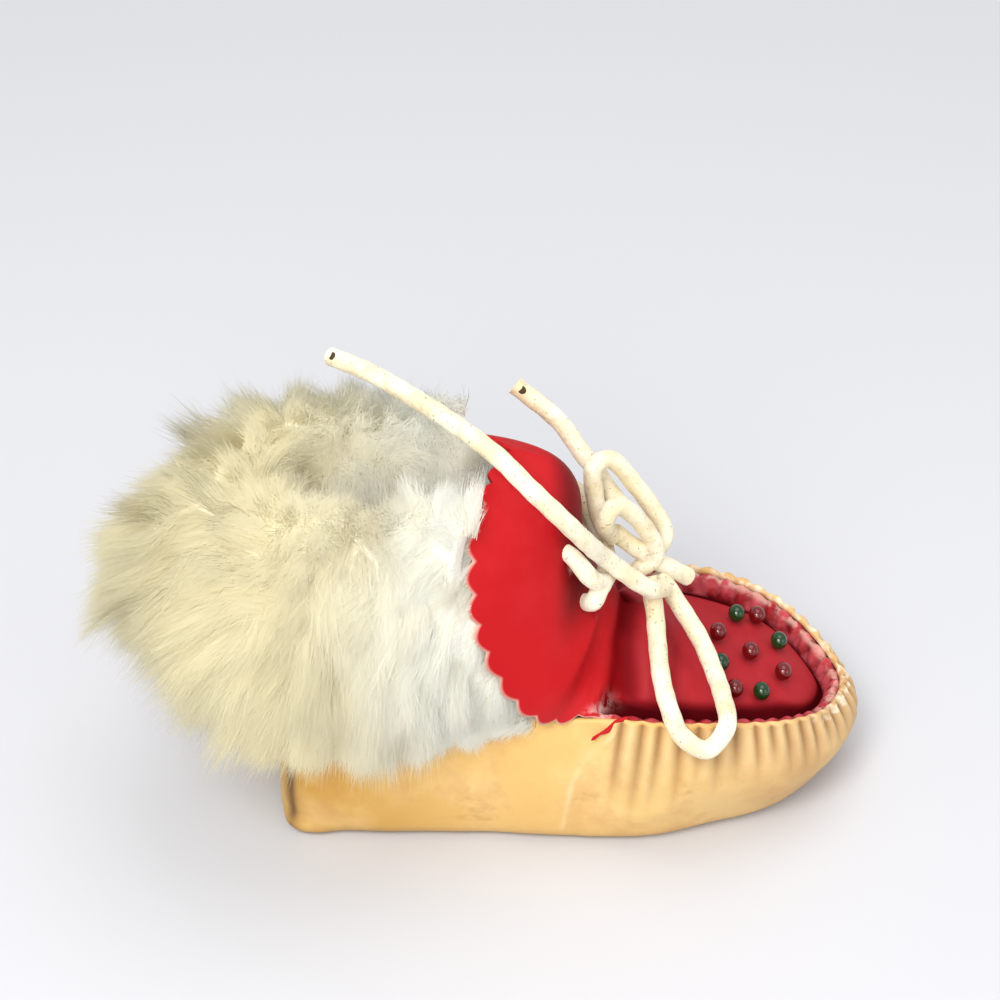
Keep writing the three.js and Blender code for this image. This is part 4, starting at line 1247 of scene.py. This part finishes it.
def grow(kind, tufts, strands, clump, under_wing, rng, vamp):
    """Strands gathered in tufts: their paths, shading directions, tints and depth in hollows."""
    tuft = kind(*scattered(tufts, rng), rng, 1.0)
    tuft_root, _, tuft_direction, tuft_length, tuft_bend, _ = tuft
    tuft_length = tuft_length * rng.uniform(*TUFT_LENGTHS, tufts)
    tuft_bend = tuft_bend + rng.normal(0, TUFT_BEND, tuft_bend.shape)
    tuft_tint = rng.random(tufts)
    place, level = scattered(strands, rng)
    root, normal, direction, length, bend, size = kind(place, level, rng, 0.6)
    keep = root[:, 0] < wing_back_x(root[:, 2]) + under_wing
    root, normal, direction, length, bend, level = (
        values[keep] for values in (root, normal, direction, length, bend, level)
    )
    size = {key: values[keep] for key, values in size.items()}
    near = nearest_index(root, tuft_root)
    direction = unit(direction * 0.6 + tuft_direction[near] * 0.6)
    length = lerp(length, tuft_length[near], 0.5) * rng.uniform(*STRAND_LENGTHS, len(root))
    bend = lerp(bend, tuft_bend[near], 0.8) + rng.normal(0, STRAND_BEND, bend.shape)
    path = strand_path(root, direction, length, bend)
    axis = strand_path(tuft_root[near], tuft_direction[near], length, tuft_bend[near])
    pull = (clump * STRAND_SHARES**1.4)[None, :, None] * rng.uniform(0.75, 1.1, len(root))[:, None, None]
    path = path + (axis - path) * pull
    path = path + rng.normal(0, TIP_SCATTER, path.shape) * (STRAND_SHARES**1.2)[None, :, None]
    path = clear_of_leather(path, size, rng)
    round_out = unit(path - axis)
    volume = normal + np.array([0, 0, 1]) * (0.8 * level - 0.1 + 0.4 * (kind is inner_pile_of))[:, None]
    shading = unit(unit(volume)[:, None] + 0.18 * round_out + 0.05 * rng.normal(0, 1, (len(root), 1, 3)))
    hollow = size.get("hollow", np.zeros(len(root)))
    kept = behind_wings(path, vamp)
    return path[kept], shading[kept], tuft_tint[near][kept], hollow[kept]


def behind_wings(path, vamp):
    """Which strands stay behind the wings' edges or under their leather."""
    ahead = (path[:, :, 0] > wing_back_x(path[:, :, 2]) + EDGE_OVERHANG) & (path[:, :, 2] > 33)
    kept = np.ones(len(path), bool)
    for strand, step in np.argwhere(ahead):
        if kept[strand]:
            place, face, _, _ = vamp.find_nearest(path[strand, step])
            kept[strand] = (Vector(path[strand, step]) - place).dot(face) < -0.3
    return kept


def clear_of_leather(path, size, rng):
    """Keeps strands outside the tan wall, above the hem and off the heel's end."""
    outward = plan_normal_near(size["base"])
    reach = ((path[:, :, :2] - size["base"][:, None]) * outward[:, None]).sum(-1)
    below = smoothstep(size["rim"][:, None] + 1.5 - path[:, :, 2], 0, 3)
    wanted = below * (0.9 + 0.5 * STRAND_SHARES[None])
    push = np.where(below > 0, np.maximum(0, wanted - reach), 0)
    path[:, :, :2] += outward[:, None] * push[:, :, None]
    hem = size["rim"] - table(HEM, 1, size["at"]) + rng.normal(0, HEM_JITTER, len(path))
    past_hem = np.maximum(0, hem[:, None] - path[:, :, 2])
    path[:, :, 2] += 0.6 * past_hem
    past = np.maximum(0, HEEL_LIMIT_X - path[:, :, 0])
    path[:, :, 0] += past - HEEL_SOFTNESS * np.tanh(past / HEEL_SOFTNESS)
    return path


def plan_normal_near(base):
    """Outward directions of the plan at points of it."""
    near = nearest_index(base, plan_dense[::8])
    tangent = PLAN_TANGENT[::8][near]
    return np.stack([tangent[:, 1], -tangent[:, 0]], -1)


def strand_mesh(name, path, shading, tint, hollow, rng):
    """Thin tapering ribbons along strands, shaded as the soft surface of the pile."""
    count, steps, _ = path.shape
    along = unit(np.gradient(path, axis=1))
    side = unit(np.cross(along, shading))
    turn = rng.normal(0, 0.5, (count, 1, 1))
    side = unit(side * np.cos(turn) + np.cross(along, side) * np.sin(turn))
    taper = (1 - 0.8 * STRAND_SHARES**1.5)[None, :, None]
    wide = STRAND_WIDTH * taper * rng.uniform(0.75, 1.25, (count, 1, 1))
    left = path[:, :-1] - side[:, :-1] * wide[:, :-1] / 2
    right = path[:, :-1] + side[:, :-1] * wide[:, :-1] / 2
    points = np.concatenate([left, right, path[:, -1:]], axis=1)
    rungs = steps - 1
    a = np.arange(rungs - 1)
    quads = np.vstack([
        np.stack([a, a + rungs, a + rungs + 1], -1),
        np.stack([a, a + rungs + 1, a + 1], -1),
        [[rungs - 1, 2 * rungs - 1, 2 * rungs]],
    ])
    each = 2 * rungs + 1
    faces = (np.arange(count)[:, None, None] * each + quads[None]).reshape(-1, 3)
    order = np.r_[np.arange(rungs), np.arange(rungs), rungs]
    normals = shading[:, order].reshape(-1, 3)
    shade = np.tile((1 - smoothstep(STRAND_SHARES, 0.0, 0.55))[order], count)
    tone = np.repeat(np.clip(tint + rng.normal(0, 0.15, count), 0, 1), each)
    marks = dict(tint=tone, shade=shade, hollow=np.repeat(hollow, each))
    made = mesh_object(name, points.reshape(-1, 3), faces, FUR, marks)
    made.data.normals_split_custom_set_from_vertices(normals.astype(np.float32))
    return dress(made, "rabbit_fur", "fur_cuff")


def pelt(rng):
    """The skin with its dense, softly lumped undercoat, which the pile grows from."""
    place = np.linspace(PELT_FRONT, 1 - PELT_FRONT, PELT_COLUMNS)
    rows = []
    for level, out in PELT_INSIDE:
        row, normal, _ = cuff_frame(place, np.full(PELT_COLUMNS, float(level)), PELT_OUT + out)
        rows.append(tucked_in(row, normal))
    for level in np.linspace(1, 0.05, 9):
        levels = np.full(PELT_COLUMNS, level)
        row, normal, _ = cuff_frame(place, levels, undercoat_out(place, levels))
        rows.append(tucked_in(row, normal))
    rows.append(cuff_frame(place, np.full(PELT_COLUMNS, 0.01), RIM_OUT + 1.1)[0])
    shares = np.linspace(0, 1, PELT_ROWS)
    sheet = np.array([at_share(np.array(column), shares) for column in np.swapaxes(rows, 0, 1)])
    outward = unit(sheet - sheet.mean(axis=1, keepdims=True)).reshape(-1, 3)
    points = sheet.reshape(-1, 3)
    nearest = np.full(len(points), np.inf)
    for heart in points[rng.integers(0, len(points), LUMPS)]:
        nearest = np.minimum(nearest, ((points - heart) ** 2).sum(axis=1))
    lump = np.exp(-nearest / LUMP_RADIUS**2) - 0.5
    behind = wing_back_x(points[:, 2]) - points[:, 0]
    rise = LUMP_HEIGHT * lump * smoothstep(points[:, 2], 33, 40) * smoothstep(behind, 0, 4)
    points = points + outward * rise[:, None]
    inner = np.tile(shares < PELT_INNER_SHARE, PELT_COLUMNS)
    inner_cover = lerp(9, -0.6, smoothstep(points[:, 2], 74, 80))
    outer_cover = lerp(3.5, -0.6, smoothstep(points[:, 2], 54, 66))
    front = wing_back_x(points[:, 2]) + np.where(inner, inner_cover, outer_cover)
    points[:, 0] = np.minimum(points[:, 0], np.maximum(front, -24))
    wing_low = np.interp(points[:, 0], *np.array([(row[0], row[2]) for row in WING_EDGE[3::-1]]).T)
    raised = np.maximum(points[:, 2], wing_low - 0.5)
    points[:, 2] = lerp(points[:, 2], raised, smoothstep(points[:, 0], -16, -8))
    faces = grid_faces(PELT_COLUMNS, PELT_ROWS, True)
    values = dict(tint=np.full(len(points), 0.5), shade=0.6 - 0.8 * lump, hollow=np.zeros(len(points)))
    return dress(mesh_object("fur_undercoat", points, faces, UNDERCOAT, values), "rabbit_fur", "fur_cuff")


def fur(vamp):
    rng = np.random.default_rng(SEED)
    pelt(rng)
    kinds = [  # what grows, tufts, strands, share of clumping, reach under the wings
        (pile_of, 420, 165000, 0.32, 3),
        (inner_pile_of, 160, 24000, 0.32, 8),
        (brim_pile_of, 120, 24000, 0.3, 8),
    ]
    grown = [grow(*kind, rng, vamp) for kind in kinds]
    path, shading, tint, hollow = (np.concatenate(values) for values in zip(*grown))
    pieces = math.ceil(len(path) / STRANDS_A_PIECE)
    for k in range(pieces):
        part = slice(k, None, pieces)
        pile = strand_mesh(f"fur_pile_{k + 1}", path[part], shading[part], tint[part], hollow[part], rng)
        pile.visible_shadow = pile.visible_diffuse = pile.visible_transmission = k == 0


# The lace

def mirrored_bar(near):
    """A bar of the lace, from its near half, which ends on the middle of the shoe."""
    return near + [(x, -y, z) for x, y, z in near[-2::-1]]


LACE_BARS = [
    mirrored_bar([
        (-2.5, -8, 66.5), (1.7, -11.5, 64.8), (4.8, -13.6, 61.4),
        (7.2, -11.2, 57.8), (8.8, -6, 56.2), (9.6, 0, 55.6),
    ]),
    mirrored_bar([
        (1.2, -6, 51), (4.4, -10, 52.2), (5.8, -13.4, 55.4), (7, -12.2, 57.2),
        (8.8, -7, 55.6), (9.8, -2.6, 53.4), (10.2, 0, 52.6),
    ]),
]
KNOT = [
    [
        (10.6, -0.5, 60.5), (8.9, -2.6, 65.8), (11, -1.4, 68.8),
        (16.2, 0, 63.2), (19.3, -0.5, 55), (15.7, -0.8, 51.8),
    ],
    [(11, 0.2, 61), (18, 0, 54.5), (26.5, 2.5, 46.5)],
]
LOOP_LOW = [
    (17.6, -2.2, 51), (18.6, -5.8, 46.6), (18.7, -11, 42.1), (18.8, -16.8, 38), (19.6, -23.4, 35.4),
    (21.5, -28.4, 32.4), (26.1, -31, 30.6), (30.3, -28.4, 34), (30.4, -21, 35.6), (30.1, -14.9, 35),
    (27.9, -7.7, 38.6), (23.2, -1.8, 45), (20.2, 0.6, 49.6),
]
LOOP_BACK = [
    (18.4, 2, 52.4), (20.4, 3.8, 53.2), (22, 6, 55.4), (19.9, 7.5, 60), (16.5, 9, 65),
    (11.1, 10, 71.5), (7.9, 8.4, 71), (7.8, 6.6, 66), (8.8, 4.8, 61), (10.2, 2.4, 58.4),
]
END_LONG = [
    (20.4, -4.4, 49.8), (18.4, -6.8, 51.5), (15.7, -8.4, 54.3), (8.1, -10.1, 63), (3.6, -14.2, 71),
    (-1.1, -14.8, 77.4), (-6.6, -12.2, 82.6), (-12, -8.6, 87.4), (-18.2, -4.4, 91),
    (-24.3, 1.4, 92.6), (-34.9, 13.7, 92.6), (-42.3, 21.3, 91.6),
]
END_SHORT = [
    (13.2, 4.8, 63.6), (11.8, 9, 63.2), (9.5, 13.5, 65), (6, 17.8, 68.4), (2.4, 21.6, 72.6), (-6.1, 26, 79),
]
LACE_ROUNDNESS = 5
LACE_WAVE = 0.035  # share of its thickness by which it is uneven
LACE_PINCH = 0.8  # share that is left of its thickness in a slit
LACE_STEP = 0.7
CUT_FACES = (-0.08, -0.72, 0.69)  # the slanting cuts of the lace's tips face the near side
HOLLOW_SEGMENTS = 20
HOLLOW_INSET = 1.5  # distance of the hole from the tip
HOLLOW_SINK = 0.35
HOLLOW_TILT = 0.6
HOLLOW_STRETCH = 1.2
HOLLOW_RINGS = [(0, 0.34), (0.6, 0.36), (0.8, 0.2), (0.8, -0.3), (0, -0.3)]  # radius, height on the cut
THREAD = [(11.5, -22.3, 32), (9, -23, 31.9), (7.6, -23.6, 30.4), (6, -24, 29.9), (4.4, -24.2, 28.6)]
THREAD_DIAMETER = 0.7
THREAD_RADII = [(0, 1.6), (12, 0.8), (24, 1.5), (36, 0.7), (44, 1.1), (48, 0.3)]  # point along it, thickness


def cord_data(name, diameter, material):
    data = bpy.data.curves.new(name, "CURVE")
    data.dimensions = "3D"
    data.bevel_depth = diameter / 2 * MM
    data.use_fill_caps = True
    data.materials.append(material)
    return data


def add_polyline(data, points, radii):
    """A line of a curve through points in millimetres, with the share of its thickness at each."""
    spline = data.splines.new("POLY")
    spline.points.add(len(points) - 1)
    places = np.column_stack([points * MM, np.ones(len(points))])
    spline.points.foreach_set("co", places.astype(np.float32).ravel())
    spline.points.foreach_set("radius", radii.astype(np.float32))
    spline.use_smooth = True


def lace_curve(name, routes, *nodes, pinched=False):
    """A round cord along routes, as one curve object; also the length of its first route."""
    data = cord_data(name, LACE_DIAMETER, CORD)
    data.bevel_resolution = LACE_ROUNDNESS
    rng = np.random.default_rng(SEED)
    first_length = 0
    for route in routes:
        dense = catmull(route, fine=40)
        count = max(8, round(lengths_along(dense)[-1] / LACE_STEP))
        points = at_share(dense, np.linspace(0, 1, count))
        run = lengths_along(points)
        wave = 1 + LACE_WAVE * np.sin(np.arange(count) * 0.9 + rng.uniform(0, 6)) * rng.uniform(0.5, 1, count)
        if pinched:
            wave = wave * lerp(LACE_PINCH, 1, smoothstep(np.minimum(run, run[-1] - run), 2.5, 8))
        add_polyline(data, points, wave)
        first_length = first_length or run[-1]
    return dress(add_object(name, data), "cord", *nodes), first_length * MM


def lace_hollow(name, route):
    """The hole in the slanting cut at the tip of a tubular cord, a shallow dish whose dark colour is painted
    shade.
    """
    tip, before = np.array(route[-1], float), np.array(route[-2], float)
    along = unit(tip - before)
    face = unit(np.array(CUT_FACES) - along * (along @ np.array(CUT_FACES)))
    middle = tip - along * HOLLOW_INSET + face * (LACE_DIAMETER / 2 - HOLLOW_SINK)
    axis = unit(face + HOLLOW_TILT * along)
    side = unit(np.cross(axis, along))
    up = np.cross(side, axis)
    turn = np.linspace(0, 2 * math.pi, HOLLOW_SEGMENTS, endpoint=False)
    rows = []
    for radius, out in HOLLOW_RINGS:
        ring = radius * (np.cos(turn)[:, None] * side + HOLLOW_STRETCH * np.sin(turn)[:, None] * up)
        rows.append(middle + axis * out + ring)
    points, faces, _ = welded(np.vstack(rows), grid_faces(len(rows), HOLLOW_SEGMENTS, True), {})
    return dress(mesh_object(name, points, faces, DARK_HOLE), "cord")


def lace():
    lace_curve("cord_bars", LACE_BARS, "lace_bars", pinched=True)
    knot, _ = lace_curve("cord_knot", KNOT, "lace_knot")
    free = [
        ("loop_low", LOOP_LOW, "object", [knot]),
        ("loop_back", LOOP_BACK, "object", []),
        ("end_long", END_LONG, "bare", [lace_hollow("hollow_long", END_LONG)]),
        ("end_short", END_SHORT, "bare", [lace_hollow("hollow_short", END_SHORT)]),
    ]
    for name, route, far_end, carried in free:
        made, length = lace_curve("cord_" + name, [route], "lace_" + name)


def seam_thread():
    """The red end of the seam's thread, lying over the tan wall."""
    data = cord_data("seam_thread", THREAD_DIAMETER, RED_THREAD)
    points = catmull(THREAD, fine=12)
    add_polyline(data, points, np.interp(np.arange(len(points)), *np.array(THREAD_RADII).T))
    return dress(add_object("seam_thread", data), "red_leather")


# Beads

def beads():
    turn = np.linspace(0, 2 * math.pi, BEAD_SEGMENTS, endpoint=False)
    for index, name in enumerate(["bead_center"] + [f"bead_{k + 1}" for k in range(RING_BEADS)]):
        green = index % 2 == 1
        low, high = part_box(name)
        centre = (np.array(low) + np.array(high)) / 2 / MM
        rows = []
        for tilt in np.linspace(-math.pi / 2, math.pi / 2, BEAD_RINGS):
            radius = BEAD_DIAMETER / 2 * math.cos(tilt)
            height = BEAD_DIAMETER / 2 * BEAD_HEIGHT * math.sin(tilt)
            across = [BEAD_LENGTH * radius * np.cos(turn), radius * np.sin(turn)]
            rows.append(np.column_stack([*across, np.full(BEAD_SEGMENTS, height)]))
        points = np.vstack(rows) + centre
        points, faces, _ = welded(points, grid_faces(BEAD_RINGS, BEAD_SEGMENTS, True), {})
        made = mesh_object("glass_" + name, points, faces, GREEN_GLASS if green else RED_GLASS)
        dress(made, "green_bead" if green else "red_bead", name)


add_camera()
add_stage()
lace()
tan_bottom()
fur(red_vamp())
seam_thread()
beads()
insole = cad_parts["insole"]
insole.data.materials.clear()
insole.data.materials.append(FLEECE)
